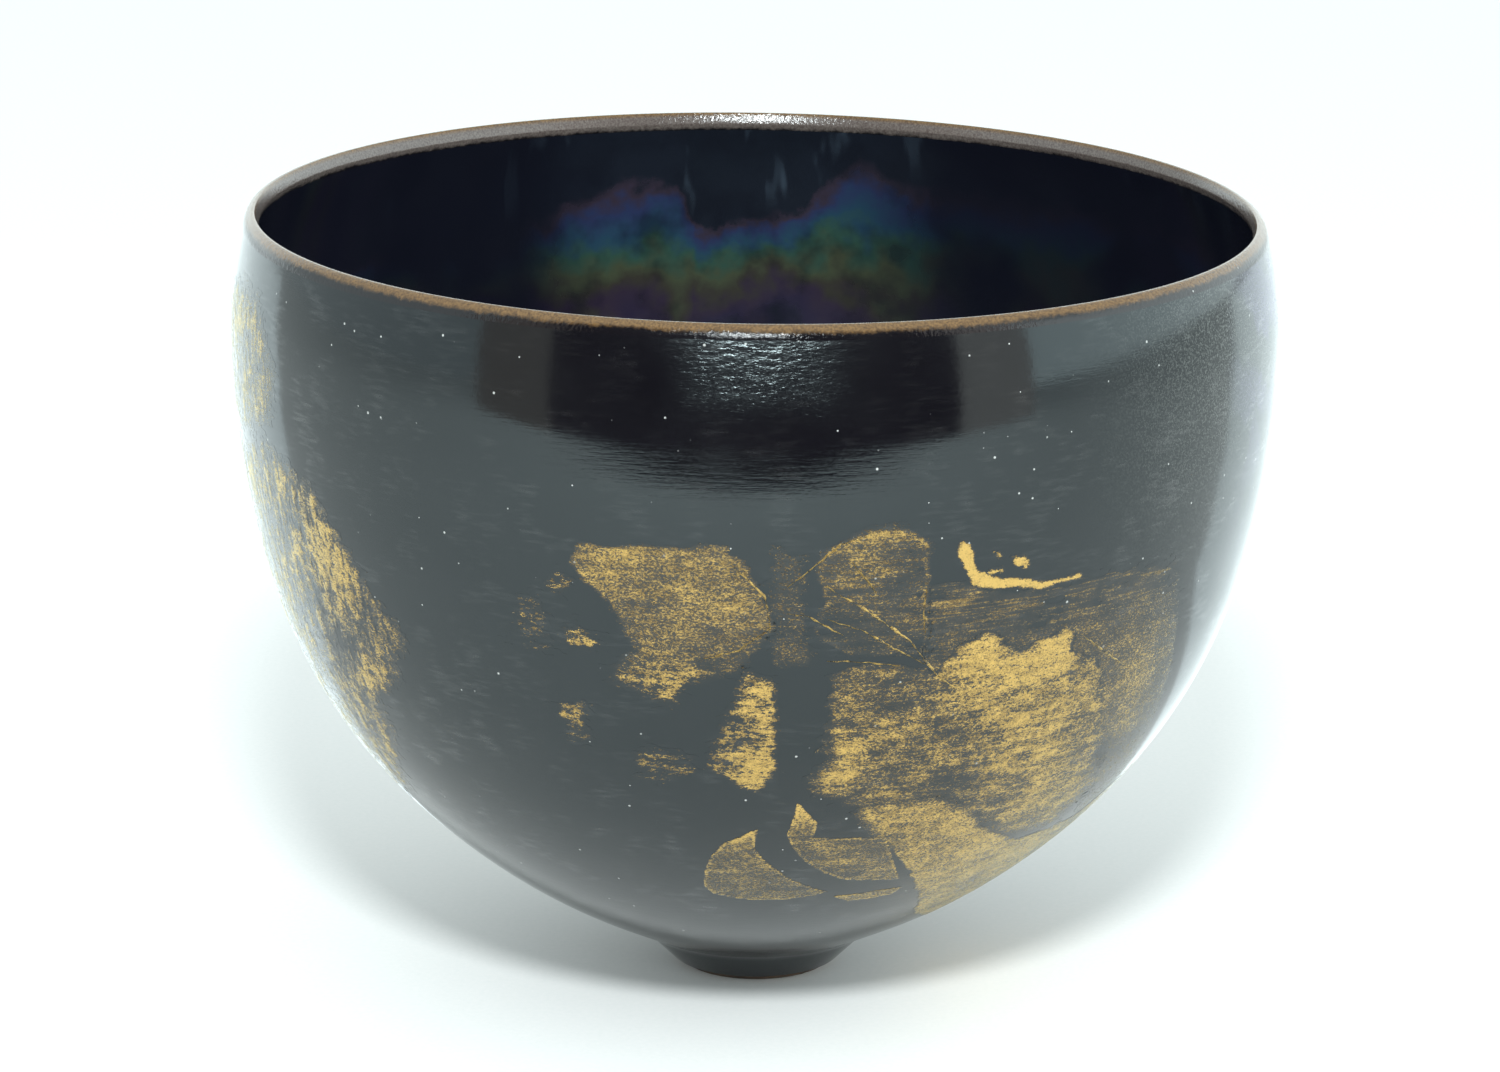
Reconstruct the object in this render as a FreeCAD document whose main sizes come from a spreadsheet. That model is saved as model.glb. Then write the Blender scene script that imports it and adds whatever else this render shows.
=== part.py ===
"""A small-footed black tea bowl with torn gold leaf, as separate layers and scraps.

Frame: +Z up, origin in the middle of the foot's contact plane, front towards -Y. Millimetres and degrees.
The pot is turned about Z: a clay wall luted to a clay foot, a black glaze coat outside, another inside and
an iron-brown coat over the lip. Each scrap of gold leaf lies on the outer glaze.
"""
import FreeCAD, Part

import math
import os

import Sketcher

# Driving sizes. Arcs and heights are those of the finished, glazed surface unless the note says clay.
SIZES = (
    ("height", 84, "foot contact plane to the crest of the lip"),
    ("belly_radius", 56, "widest radius"),
    ("belly_height", 72, "height of the widest radius"),
    ("lip_arc", 42, "arc from the belly up and in to the lip"),
    ("lip_thickness", 1.7, "wall at the lip, both coats included"),
    ("belly_arc", 96.5, "arc down from the belly"),
    ("flank_arc", 56, "arc below the belly arc"),
    ("belly_sweep", 15.65, "turn along the belly arc"),
    ("flank_sweep", 27.15, "turn along the flank arc"),
    ("base_sweep", 20.4, "turn along the base arc, down to the cone over the foot"),
    ("inner_belly_arc", 94.2, "inside face, beside the belly arc"),
    ("inner_flank_arc", 53, "inside face, beside the flank arc"),
    ("inner_base_arc", 68, "inside face, beside the base arc"),
    ("glaze", 0.3, "thickness of each glaze coat"),
    ("band_outside", 14.6, "angle about the lip arc's centre where the brown lip coat starts outside"),
    ("band_inside", 14.4, "the same angle on the inside face"),
    ("seat_height", 3.66, "height of the clay joint between wall and foot"),
    ("foot_radius", 8, "clay radius of the foot's side, carried down to the contact plane"),
    ("foot_lean", 45, "lean of the foot's side, which widens upwards"),
    ("neck_arc", 6.2, "clay hollow between the cone and the foot's side"),
    ("foot_edge", 0.8, "rounded bottom edge of the foot, and the height it is wiped clean of glaze"),
    ("recess_radius", 5.2, "hollow under the foot"),
    ("recess_depth", 1.5, "depth of that hollow"),
    ("recess_edge", 0.4, "rounded mouth of that hollow"),
    ("leaf", 0.05, "thickness of the gold leaf"),
    ("leaf_top", 10, "angle about the lip arc's centre that no gold passes"),
)
SIZE = {alias: value for alias, value, note in SIZES}
SLOPE = SIZE["belly_sweep"] + SIZE["flank_sweep"] + SIZE["base_sweep"]
SLOPE_RULE = "(sizes.belly_sweep + sizes.flank_sweep + sizes.base_sweep)"

# Where the centre of the neck's hollow lies, as the sheet's rules.
NECK_RADIUS_RULE = (
    "sizes.foot_radius + sizes.seat_height * tan(sizes.foot_lean) + sizes.neck_arc * cos(sizes.foot_lean)")
NECK_HEIGHT_RULE = "sizes.seat_height - sizes.neck_arc * sin(sizes.foot_lean)"

# How far a face lies outside the glazed face, as a number and as the sheet's rule.
CLAY = (-SIZE["glaze"], "- sizes.glaze")
GLAZED = (0, "")
GILT = (SIZE["leaf"], "+ sizes.leaf")

# How far an inside face lies behind the glazed inside face.
CLAY_INSIDE = (SIZE["glaze"], "+ sizes.glaze")

# How far the outside and the inside of the lip lie in from the lip arc.
OUTSIDE = (0, "")
INSIDE = (SIZE["lip_thickness"], "- sizes.lip_thickness")

START, END, CENTRE = 1, 2, 3
UPRIGHT_AXIS = -2
ORIGIN_POINT = (-1, 1)

# Gold leaf. Each scrap is drawn flat, facing the stated azimuth (0 is the front, 90 is +X), as corners
# (across, up). Four numbers mean a round tear: a point on the way, then the corner it reaches.
LEAVES = {
    "gold_leaf_upper_left": (0, (
        (-18.4, 60), (-17.2, 61.4), (-3, 61.8), (0.2, 57.5, 1.4, 53.4), (-2.6, 48.4), (-6.5, 47.6), (-9, 45),
        (-14.8, 47.2), (-11.6, 50.2), (-14.5, 55.6), (-17.5, 58.2))),
    "gold_leaf_upright_strip": (0, (
        (-0.8, 48.2), (1.5, 46.8), (1.6, 37), (0, 34.2), (-4.9, 37.4), (-3.2, 42.5), (-2, 46))),
    "gold_leaf_thin_strip": (0, (
        (2.4, 61), (4.4, 60.2), (4.6, 50), (2, 49.6), (2.6, 53.4), (1.9, 58))),
    "gold_leaf_half_disc": (0, (
        (6, 60.2), (9.8, 62.6, 15, 63), (17, 61.5), (17, 50), (9.5, 50), (5.6, 52.5), (6.8, 56))),
    "gold_leaf_crescent_left": (0, (
        (0.2, 29.4), (-3.4, 27.2), (-5.1, 24, -5.3, 20.4), (-4.4, 19.3), (1, 18.3, 7.4, 19.4),
        (2.4, 23, -0.2, 26.6))),
    "gold_leaf_crescent_right": (0, (
        (4.2, 32.8), (6.3, 29.9), (5.8, 27.9), (13.3, 27.3), (15, 20.2), (9.4, 21.1),
        (5.2, 24.2, 3.1, 28.4))),
    "gold_leaf_sliver": (0, ((7.9, 18.5), (15.3, 18.9), (14.2, 17.7), (9.6, 17.3))),
    "gold_leaf_core": (30, (
        (-19.8, 47.5), (-18.2, 49), (-13.5, 48.9), (-9.5, 46.8), (-6.4, 50.2), (-4.2, 50.8), (0.2, 48),
        (5.6, 50.3), (6.8, 46.5), (10.4, 45.9), (12.7, 39.6), (14.2, 34), (15.4, 31.2), (16.6, 27.5),
        (14, 24.5), (10, 24.7), (5, 26.2), (-1.2, 31.2), (-5.5, 33), (-12, 32.4), (-18, 35),
        (-17.2, 38.5), (-18.6, 41))),
    "gold_leaf_veil": (30, (
        (-11, 57), (-8.2, 57), (-4, 55.6), (1, 55), (20.6, 54.8), (21.6, 52), (23.5, 43, 24.2, 33),
        (24.5, 27), (19, 23.5), (-11.2, 49))),
    "gold_leaf_drip": (30, (
        (-8.6, 60.5), (-8, 61.3, -7.3, 60.8), (-6.3, 58.4), (-4.8, 57.4, -2.5, 56.9), (1, 56), (6.4, 56),
        (6.4, 55.5), (1, 55.4), (-3.5, 56), (-6.3, 56.7, -7.5, 58.3))),
    "gold_leaf_lower_right": (60, (
        (-33.2, 31.4), (-28, 31.4), (-23.8, 29.6), (-20, 26.6), (-11.5, 23), (-1, 22.8), (4, 26), (9.6, 27),
        (9.6, 7), (4, 6.8), (-10.5, 12.5), (-26, 24.5), (-31.5, 29.5))),
    "gold_leaf_wrap_right": (60, (
        (10.2, 26.6), (22, 27.5), (27, 24), (18, 12), (14, 9), (10.3, 8.2))),
    "gold_leaf_side_upper": (-70, (
        (-24, 73), (-6, 78), (1.8, 77.8), (6.5, 72), (4.8, 67), (-4, 64.5), (-20, 63.5), (-27, 67))),
    "gold_leaf_side_lower": (-70, (
        (-24, 61.5), (-4, 61), (3, 63.5), (14.5, 60.6), (18, 55.5), (23.8, 48), (19.6, 42), (16, 40),
        (15, 35.5), (8, 27), (-6, 21.8), (-14, 22.5), (-27, 31), (-31, 48))),
    "gold_leaf_back_upper": (160, (
        (-20, 66), (-6, 68), (12, 64), (17, 55), (9, 47), (-4, 49), (-15, 45), (-22, 54))),
    "gold_leaf_back_lower": (205, (
        (-14, 40), (0, 44), (13, 41), (17, 31), (6, 24), (-9, 26), (-16, 32))),
    "gold_fleck_right_round": (30, ((-2.6, 59.2), (-1, 59.3), (-0.1, 58.2), (-0.7, 57.5), (-2, 58.1))),
    "gold_fleck_right_high": (30, ((-4.7, 60), (-3.6, 59.8), (-3.5, 59), (-4.4, 59.3))),
    "gold_fleck_right_low": (30, ((-5, 58), (-3.3, 58.2), (-3, 57.7), (-4.8, 57.6))),
    "gold_fleck_left_high": (0, ((-20.8, 57.2), (-19.8, 57.9), (-18.5, 57.4), (-19.2, 56.2), (-20.4, 56.3))),
    "gold_fleck_left_middle": (0, ((-19.6, 51.7), (-17.8, 52.6), (-15.8, 50.9), (-16.2, 50.3), (-18.4, 51))),
    "gold_fleck_left_outer": (0, ((-23.8, 55), (-21.5, 55.4), (-20.4, 50), (-22, 49.2), (-24, 50.4))),
    "gold_fleck_left_low": (0, ((-19.8, 42.6), (-17.2, 44.2), (-16.6, 39.6), (-18.4, 39.8))),
    "gold_fleck_left_foot": (0, (
        (-12, 38.4), (-10.4, 38.9), (-6.4, 38.2), (-6.2, 36.4), (-9.6, 35.3), (-11.8, 35.9))),
}
# A leaf that lies partly under another is cut back to the other's edge.
COVERED_BY = {"gold_leaf_veil": "gold_leaf_core"}

doc = FreeCAD.newDocument("tea_bowl")


def write_sheet():
    """The spreadsheet of driving sizes: name, value and meaning on each row."""
    sheet = doc.addObject("Spreadsheet::Sheet", "sizes")
    for row, (alias, value, note) in enumerate(SIZES, start=1):
        sheet.set("A%d" % row, alias)
        sheet.set("B%d" % row, str(value))
        sheet.set("C%d" % row, note)
        sheet.setAlias("B%d" % row, alias)


def point(across, up):
    return FreeCAD.Vector(across, up, 0)


def facing(angle):
    """Unit direction out of the pot's face where it has turned `angle` degrees below upright."""
    return point(math.cos(math.radians(angle)), -math.sin(math.radians(angle)))


class Outline:
    """A closed outline in a sketch: radius across, height up."""

    def __init__(self, sketch):
        self.sketch = sketch

    def arc(self, centre, radius, start, end):
        circle = Part.Circle(centre, FreeCAD.Vector(0, 0, 1), radius)
        return self.sketch.addGeometry(Part.ArcOfCircle(circle, math.radians(start), math.radians(end)))

    def line(self, start, end):
        return self.sketch.addGeometry(Part.LineSegment(start, end))

    def tie(self, kind, *places):
        self.sketch.addConstraint(Sketcher.Constraint(kind, *places))

    def size(self, kind, places, value, rule):
        """A dimension whose value follows the sheet."""
        index = self.sketch.addConstraint(Sketcher.Constraint(kind, *places, value))
        name = "%s_%d" % (kind, index)
        self.sketch.renameConstraint(index, name)
        self.sketch.setExpression("Constraints." + name, rule)

    def place(self, item, part, across, across_rule, up, up_rule):
        """Hold one point of an item at a radius and a height."""
        self.size("DistanceX", (*ORIGIN_POINT, item, part), across, across_rule)
        self.size("DistanceY", (*ORIGIN_POINT, item, part), up, up_rule)

    def closing_line(self, first, first_part, second, second_part):
        """A straight line between two loose ends."""
        line = self.line(self.sketch.getPoint(first, first_part), self.sketch.getPoint(second, second_part))
        self.tie("Coincident", line, START, first, first_part)
        self.tie("Coincident", line, END, second, second_part)
        return line


def lip_centre():
    return point(SIZE["belly_radius"] - SIZE["lip_arc"], SIZE["belly_height"])


def lip_angle():
    """How far the lip arc turns up from the belly before the round of the lip."""
    half = SIZE["lip_thickness"] / 2
    rise = SIZE["height"] - half - SIZE["belly_height"]
    return math.degrees(math.asin(rise / (SIZE["lip_arc"] - half)))


def lip_side(outline, face, thickness, sweep, sweep_rule):
    """The lip arc, on the outside (no thickness) or on the inside face, turned up by `sweep`."""
    skin, skin_rule = face
    arc = outline.arc(lip_centre(), SIZE["lip_arc"] - thickness[0] + skin, 0, sweep)
    outline.place(arc, CENTRE, lip_centre().x, "sizes.belly_radius - sizes.lip_arc",
                  lip_centre().y, "sizes.belly_height")
    outline.size("Radius", (arc,), SIZE["lip_arc"] - thickness[0] + skin,
                 "sizes.lip_arc %s %s" % (thickness[1], skin_rule))
    outline.tie("Horizontal", arc, CENTRE, arc, START)
    if sweep_rule:
        outline.size("Angle", (arc,), math.radians(sweep), sweep_rule)
    return arc


def arcs_down(outline, lip, face, belly_radius, names):
    """Belly, flank and base arcs, each tangent to the one above. Returns the arcs and the last centre."""
    skin, skin_rule = face
    centre = point(belly_radius, SIZE["belly_height"])
    turned_to = 0
    radius = 0
    above, above_end = lip, START
    arcs = []
    for name, sweep_name in zip(names, ("belly_sweep", "flank_sweep", "base_sweep")):
        centre += facing(turned_to) * (radius - arc_radius(name))
        radius = arc_radius(name)
        sweep = SIZE[sweep_name]
        arc = outline.arc(centre, radius + skin, -turned_to - sweep, -turned_to)
        outline.tie("Tangent", above, above_end, arc, END)
        outline.size("Angle", (arc,), math.radians(sweep), "sizes." + sweep_name)
        if name in SIZE:
            outline.size("Radius", (arc,), radius + skin, "sizes.%s %s" % (name, skin_rule))
        turned_to += sweep
        above, above_end = arc, START
        arcs.append(arc)
    return arcs, centre


def base_and_cone():
    """Radius of the outside base arc and length of the cone line that together reach the foot's neck."""
    flank_end = point(SIZE["belly_radius"], SIZE["belly_height"])
    turned_to = SIZE["belly_sweep"]
    flank_end += (facing(turned_to) - facing(0)) * SIZE["belly_arc"]
    flank_to = turned_to + SIZE["flank_sweep"]
    flank_end += (facing(flank_to) - facing(turned_to)) * SIZE["flank_arc"]
    gap = neck_start(GLAZED) - flank_end
    turn = facing(SLOPE) - facing(flank_to)
    down = cone_direction()
    spread = turn.x * down.y - turn.y * down.x
    return (gap.x * down.y - gap.y * down.x) / spread, (turn.x * gap.y - turn.y * gap.x) / spread


def cone_direction():
    """Unit direction down the cone between the base arc and the neck."""
    return point(-math.sin(math.radians(SLOPE)), -math.cos(math.radians(SLOPE)))


def arc_radius(name):
    return SIZE[name] if name in SIZE else base_and_cone()[0]


def foot_side_radius(height, height_rule, face):
    """Radius of the foot's leaning side at a height, as a number and as the sheet's rule."""
    skin, skin_rule = face
    lean = math.radians(SIZE["foot_lean"])
    radius = SIZE["foot_radius"] + height * math.tan(lean) + (SIZE["glaze"] + skin) / math.cos(lean)
    rule = "sizes.foot_radius + (%s) * tan(sizes.foot_lean) + (sizes.glaze %s) / cos(sizes.foot_lean)"
    return radius, rule % (height_rule, skin_rule)


def joint():
    """Where the clay neck's hollow ends and the foot's clay side starts."""
    return point(foot_side_radius(SIZE["seat_height"], "", CLAY)[0], SIZE["seat_height"])


def neck_centre():
    return joint() + facing(SIZE["foot_lean"]) * SIZE["neck_arc"]


def neck_radius(face):
    return SIZE["neck_arc"] - SIZE["glaze"] - face[0]


def neck_start(face):
    """Where the cone meets the neck's hollow."""
    return neck_centre() - facing(SLOPE) * neck_radius(face)


def outer_side(outline, face, sweep, sweep_rule):
    """The outside from the lip down to the end of the cone. Returns the lip arc and the cone line."""
    lip = lip_side(outline, face, OUTSIDE, sweep, sweep_rule)
    arcs, centre = arcs_down(outline, lip, face, SIZE["belly_radius"], ("belly_arc", "flank_arc", "base_arc"))
    cone_start = centre + facing(SLOPE) * (arc_radius("base_arc") + face[0])
    cone = outline.line(cone_start, neck_start(face))
    outline.tie("Tangent", arcs[-1], START, cone, START)
    return lip, cone


def seat_cone(outline, cone, face):
    """Hold the lower end of a cone line where the neck's hollow starts."""
    reach = "(sizes.neck_arc - sizes.glaze - (0 %s))" % face[1]
    outline.place(cone, END,
                  neck_start(face).x,
                  "%s - %s * cos(%s)" % (NECK_RADIUS_RULE, reach, SLOPE_RULE),
                  neck_start(face).y,
                  "%s + %s * sin(%s)" % (NECK_HEIGHT_RULE, reach, SLOPE_RULE))


def inner_side(outline, face, sweep, sweep_rule):
    """The inside face from the lip to the axis. Returns the lip arc and the bottom arc."""
    lip = lip_side(outline, face, INSIDE, sweep, sweep_rule)
    belly_radius = SIZE["belly_radius"] - SIZE["lip_thickness"]
    names = ("inner_belly_arc", "inner_flank_arc", "inner_base_arc")
    arcs, centre = arcs_down(outline, lip, face, belly_radius, names)
    shift = centre.x / facing(SLOPE).x
    bottom_centre = centre - facing(SLOPE) * shift
    bottom = outline.arc(bottom_centre, SIZE["inner_base_arc"] + face[0] + shift, -90, -SLOPE)
    outline.tie("Tangent", arcs[-1], START, bottom, END)
    outline.tie("PointOnObject", bottom, CENTRE, UPRIGHT_AXIS)
    outline.tie("PointOnObject", bottom, START, UPRIGHT_AXIS)
    return lip, bottom


def lip_round(outline, outside_arc, inside_arc, shrink):
    """The round of the lip, tangent to both lip arcs."""
    half = SIZE["lip_thickness"] / 2
    centre = lip_centre() + facing(-lip_angle()) * (SIZE["lip_arc"] - half)
    crest = outline.arc(centre, half - shrink, lip_angle(), lip_angle() + 180)
    outline.tie("Tangent", outside_arc, END, crest, START)
    outline.tie("Tangent", crest, END, inside_arc, END)
    outline.size("DistanceY", (*ORIGIN_POINT, crest, CENTRE), centre.y,
                 "sizes.height - sizes.lip_thickness / 2")


def neck_below(outline, cone, face):
    """The neck's hollow, below a cone line."""
    neck = outline.arc(neck_centre(), neck_radius(face), 180 - SLOPE, 180 - SIZE["foot_lean"])
    outline.place(neck, CENTRE, neck_centre().x, NECK_RADIUS_RULE, neck_centre().y, NECK_HEIGHT_RULE)
    outline.size("Radius", (neck,), neck_radius(face), "sizes.neck_arc - sizes.glaze - (0 %s)" % face[1])
    outline.tie("Tangent", cone, END, neck, START)
    return neck


def foot_side(outline, face, top, stop, stop_rule):
    """The foot's leaning side, from the point `top` down to the height `stop`."""
    radius, radius_rule = foot_side_radius(stop, stop_rule, face)
    side = outline.line(top, point(radius, stop))
    outline.place(side, END, radius, radius_rule, stop, stop_rule)
    return side


def draw_clay_wall(outline):
    outside, cone = outer_side(outline, CLAY, lip_angle(), None)
    inside, bottom = inner_side(outline, CLAY_INSIDE, lip_angle(), None)
    lip_round(outline, outside, inside, SIZE["glaze"])
    neck = neck_below(outline, cone, CLAY)
    seat = outline.line(joint(), point(0, SIZE["seat_height"]))
    outline.tie("Coincident", neck, END, seat, START)
    outline.size("DistanceY", (*ORIGIN_POINT, seat, START), SIZE["seat_height"], "sizes.seat_height")
    outline.tie("Horizontal", seat)
    outline.tie("PointOnObject", seat, END, UPRIGHT_AXIS)
    outline.closing_line(seat, END, bottom, START)


def draw_foot_ring(outline):
    """The luted foot: a turned stub, wider at the top, with a hollow underside."""
    edge = SIZE["foot_edge"]
    lean = SIZE["foot_lean"]
    mouth = SIZE["recess_edge"]
    recess_radius = SIZE["recess_radius"]
    seat = outline.line(point(0, SIZE["seat_height"]), joint())
    outline.tie("Horizontal", seat)
    outline.tie("PointOnObject", seat, START, UPRIGHT_AXIS)
    outline.place(seat, END, *foot_side_radius(SIZE["seat_height"], "sizes.seat_height", CLAY),
                  SIZE["seat_height"], "sizes.seat_height")
    edge_top = edge * (1 - math.sin(math.radians(lean)))
    side = foot_side(outline, CLAY, joint(), edge_top, "sizes.foot_edge * (1 - sin(sizes.foot_lean))")
    outline.tie("Coincident", seat, END, side, START)
    edge_centre = point(foot_side_radius(edge_top, "", CLAY)[0], edge_top) - facing(lean) * edge
    edge_arc = outline.arc(edge_centre, edge, -90, -lean)
    outline.tie("Tangent", side, END, edge_arc, END)
    contact = outline.line(point(edge_centre.x, 0), point(recess_radius + mouth, 0))
    outline.tie("Tangent", edge_arc, START, contact, START)
    outline.tie("Horizontal", contact)
    outline.size("Radius", (edge_arc,), edge, "sizes.foot_edge")
    mouth_arc = outline.arc(point(recess_radius + mouth, mouth), mouth, 180, 270)
    outline.tie("Tangent", contact, END, mouth_arc, END)
    outline.size("Radius", (mouth_arc,), mouth, "sizes.recess_edge")
    wall = outline.line(point(recess_radius, mouth), point(recess_radius, SIZE["recess_depth"]))
    outline.tie("Tangent", mouth_arc, START, wall, START)
    outline.tie("Vertical", wall)
    outline.size("DistanceX", (*ORIGIN_POINT, wall, END), recess_radius, "sizes.recess_radius")
    outline.size("DistanceY", (*ORIGIN_POINT, wall, END), SIZE["recess_depth"], "sizes.recess_depth")
    roof = outline.line(point(recess_radius, SIZE["recess_depth"]), point(0, SIZE["recess_depth"]))
    outline.tie("Coincident", wall, END, roof, START)
    outline.tie("Horizontal", roof)
    outline.tie("PointOnObject", roof, END, UPRIGHT_AXIS)
    outline.closing_line(roof, END, seat, START)


def draw_outer_glaze(outline):
    ends = []
    for face in (GLAZED, CLAY):
        lip, cone = outer_side(outline, face, SIZE["band_outside"], "sizes.band_outside")
        neck = neck_below(outline, cone, face)
        neck_end = neck_centre() - facing(SIZE["foot_lean"]) * neck_radius(face)
        side = foot_side(outline, face, neck_end, SIZE["foot_edge"], "sizes.foot_edge")
        outline.tie("Tangent", neck, END, side, START)
        ends.append((lip, side))
    (lip, side), (lip_clay, side_clay) = ends
    outline.closing_line(lip, END, lip_clay, END)
    outline.closing_line(side, END, side_clay, END)


def draw_inner_glaze(outline):
    lip, bottom = inner_side(outline, GLAZED, SIZE["band_inside"], "sizes.band_inside")
    lip_clay, bottom_clay = inner_side(outline, CLAY_INSIDE, SIZE["band_inside"], "sizes.band_inside")
    outline.closing_line(lip, END, lip_clay, END)
    outline.closing_line(bottom, START, bottom_clay, START)


def draw_lip_glaze(outline):
    """The brown coat: a hood over the clay lip, its two edges square to the lip arcs."""
    sides = []
    for thickness, clay, band, turn in (
            (OUTSIDE, CLAY, "band_outside", 0), (INSIDE, CLAY_INSIDE, "band_inside", 180)):
        arcs = []
        for skin, skin_rule in (GLAZED, clay):
            radius = SIZE["lip_arc"] - thickness[0] + skin
            arc = outline.arc(lip_centre(), radius, SIZE[band], lip_angle())
            outline.place(arc, CENTRE, lip_centre().x, "sizes.belly_radius - sizes.lip_arc",
                          lip_centre().y, "sizes.belly_height")
            outline.size("Radius", (arc,), radius, "sizes.lip_arc %s %s" % (thickness[1], skin_rule))
            arcs.append(arc)
        glazed, bare = arcs
        edge = outline.closing_line(bare, START, glazed, START)
        outline.tie("PointOnObject", glazed, CENTRE, edge)
        outline.size("Angle", (edge,), math.radians(SIZE[band] + turn), "sizes.%s + %d" % (band, turn))
        sides.append(arcs)
    (outside, outside_clay), (inside, inside_clay) = sides
    lip_round(outline, outside, inside, 0)
    lip_round(outline, outside_clay, inside_clay, SIZE["glaze"])


def draw_leaf_shell(outline):
    """A skin of leaf thickness all over the outside, from which the scraps are taken."""
    ends = []
    for face in (GLAZED, GILT):
        lip, cone = outer_side(outline, face, SIZE["leaf_top"], "sizes.leaf_top")
        seat_cone(outline, cone, face)
        ends.append((lip, cone))
    (lip, cone), (lip_gilt, cone_gilt) = ends
    outline.closing_line(lip, END, lip_gilt, END)
    outline.closing_line(cone, END, cone_gilt, END)


def turned(name, draw):
    """A body turned about the pot's axis from the outline that `draw` makes."""
    body = doc.addObject("PartDesign::Body", name)
    body.Label = name
    sketch = body.newObject("Sketcher::SketchObject", name + "_outline")
    upright = next(plane for plane in body.Origin.OriginFeatures if plane.Role == "XZ_Plane")
    sketch.AttachmentSupport = [(upright, "")]
    sketch.MapMode = "FlatFace"
    draw(Outline(sketch))
    turn = body.newObject("PartDesign::Revolution", name + "_turn")
    turn.Profile = sketch
    turn.ReferenceAxis = (sketch, ["V_Axis"])
    turn.Angle = 360
    return body


def leaf_prism(name, azimuth, corners):
    """A leaf's outline, drawn in the upright plane that faces `azimuth` and pushed out through the wall."""
    sketch = doc.addObject("Sketcher::SketchObject", name + "_outline")
    upright = FreeCAD.Rotation(FreeCAD.Vector(1, 0, 0), 90)
    turn = FreeCAD.Rotation(FreeCAD.Vector(0, 0, 1), azimuth)
    sketch.Placement = FreeCAD.Placement(FreeCAD.Vector(), turn.multiply(upright))
    here = point(*corners[0][-2:])
    for corner in corners[1:] + corners[:1]:
        there = point(*corner[-2:])
        if len(corner) == 4:
            edge = Part.Arc(here, point(*corner[:2]), there)
        else:
            edge = Part.LineSegment(here, there)
        sketch.addGeometry(edge)
        here = there
    prism = doc.addObject("Part::Extrusion", name + "_prism")
    prism.Base = sketch
    prism.DirMode = "Normal"
    prism.Solid = True
    prism.setExpression("LengthFwd", "sizes.belly_radius + 2 * sizes.glaze")
    return prism


def gold_leaves():
    """Every scrap of gold leaf: the leaf shell where the scrap's prism passes through it."""
    shell = turned("leaf_shell", draw_leaf_shell)
    prisms = {name: leaf_prism(name, azimuth, corners) for name, (azimuth, corners) in LEAVES.items()}
    leaves = []
    for name, prism in prisms.items():
        leaf = doc.addObject("Part::Common", name)
        leaf.Base = shell
        leaf.Tool = prism
        if name in COVERED_BY:
            leaf.Label = name + "_whole"
            whole = leaf
            leaf = doc.addObject("Part::Cut", name + "_seen")
            leaf.Base = whole
            leaf.Tool = prisms[COVERED_BY[name]]
        leaf.Label = name
        leaves.append(leaf)
    return leaves


def check_all(pieces):
    """Stop before anything is written if an object failed or a piece isn't one sound solid."""
    for item in doc.Objects:
        if "Invalid" in item.State or "Error" in item.State:
            raise RuntimeError("%s did not compute: %s" % (item.Label, item.State))
    for piece in pieces:
        shape = piece.Shape
        if shape.isNull() or not shape.isValid() or len(shape.Solids) != 1:
            raise RuntimeError("%s is not one valid solid" % piece.Label)


def main():
    write_sheet()
    doc.recompute()
    pieces = [
        turned("clay_wall", draw_clay_wall),
        turned("foot_ring", draw_foot_ring),
        turned("outer_glaze", draw_outer_glaze),
        turned("inner_glaze", draw_inner_glaze),
        turned("lip_glaze", draw_lip_glaze),
    ]
    pieces += gold_leaves()
    doc.recompute()
    check_all(pieces)
    os.makedirs("parts", exist_ok=True)
    for piece in pieces:
        piece.Shape.exportStep("parts/%s.step" % piece.Label)
        print("%-28s %9.2f mm3" % (piece.Label, piece.Shape.Volume))


main()
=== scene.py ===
"""Looks of the small-footed black tea bowl: its glazes, lip, foot and torn gold leaf.

Shapes are worked out in millimetres, from the same arcs as the CAD part, and written to meshes in metres.
"""

import math

import bpy
import numpy as np
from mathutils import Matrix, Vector, noise


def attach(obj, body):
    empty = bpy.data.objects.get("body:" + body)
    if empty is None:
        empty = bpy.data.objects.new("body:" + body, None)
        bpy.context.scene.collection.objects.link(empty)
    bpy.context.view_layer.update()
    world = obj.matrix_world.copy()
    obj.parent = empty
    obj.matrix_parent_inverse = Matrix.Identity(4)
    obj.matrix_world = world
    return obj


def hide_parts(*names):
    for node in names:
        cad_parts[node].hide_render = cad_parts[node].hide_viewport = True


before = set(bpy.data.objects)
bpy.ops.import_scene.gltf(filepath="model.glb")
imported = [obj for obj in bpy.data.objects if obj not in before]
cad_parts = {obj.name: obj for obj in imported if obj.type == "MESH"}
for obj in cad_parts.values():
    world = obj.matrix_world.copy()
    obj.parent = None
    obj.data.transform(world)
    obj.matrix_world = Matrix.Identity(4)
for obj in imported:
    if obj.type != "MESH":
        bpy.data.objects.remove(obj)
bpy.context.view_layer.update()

# Unseeded, the folds' noise would start from the clock.
NOISE_SEED = 1
noise.seed_set(NOISE_SEED)

MM = 0.001
BODY = "root"

# The pot's outline, in mm and degrees: arcs down from the belly, as (radius, turn).
HEIGHT = 84
BELLY_RADIUS = 56
BELLY_HEIGHT = 72
LIP_ARC = 42
LIP_THICKNESS = 1.7
OUTSIDE_ARCS = ((96.5, 15.65), (56, 27.15), (74.68, 20.4))
INSIDE_ARCS = ((94.2, 15.65), (53, 27.15), (68, 20.4))
GLAZE = 0.3
BAND_OUTSIDE = 14.6
BAND_INSIDE = 14.4
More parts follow.
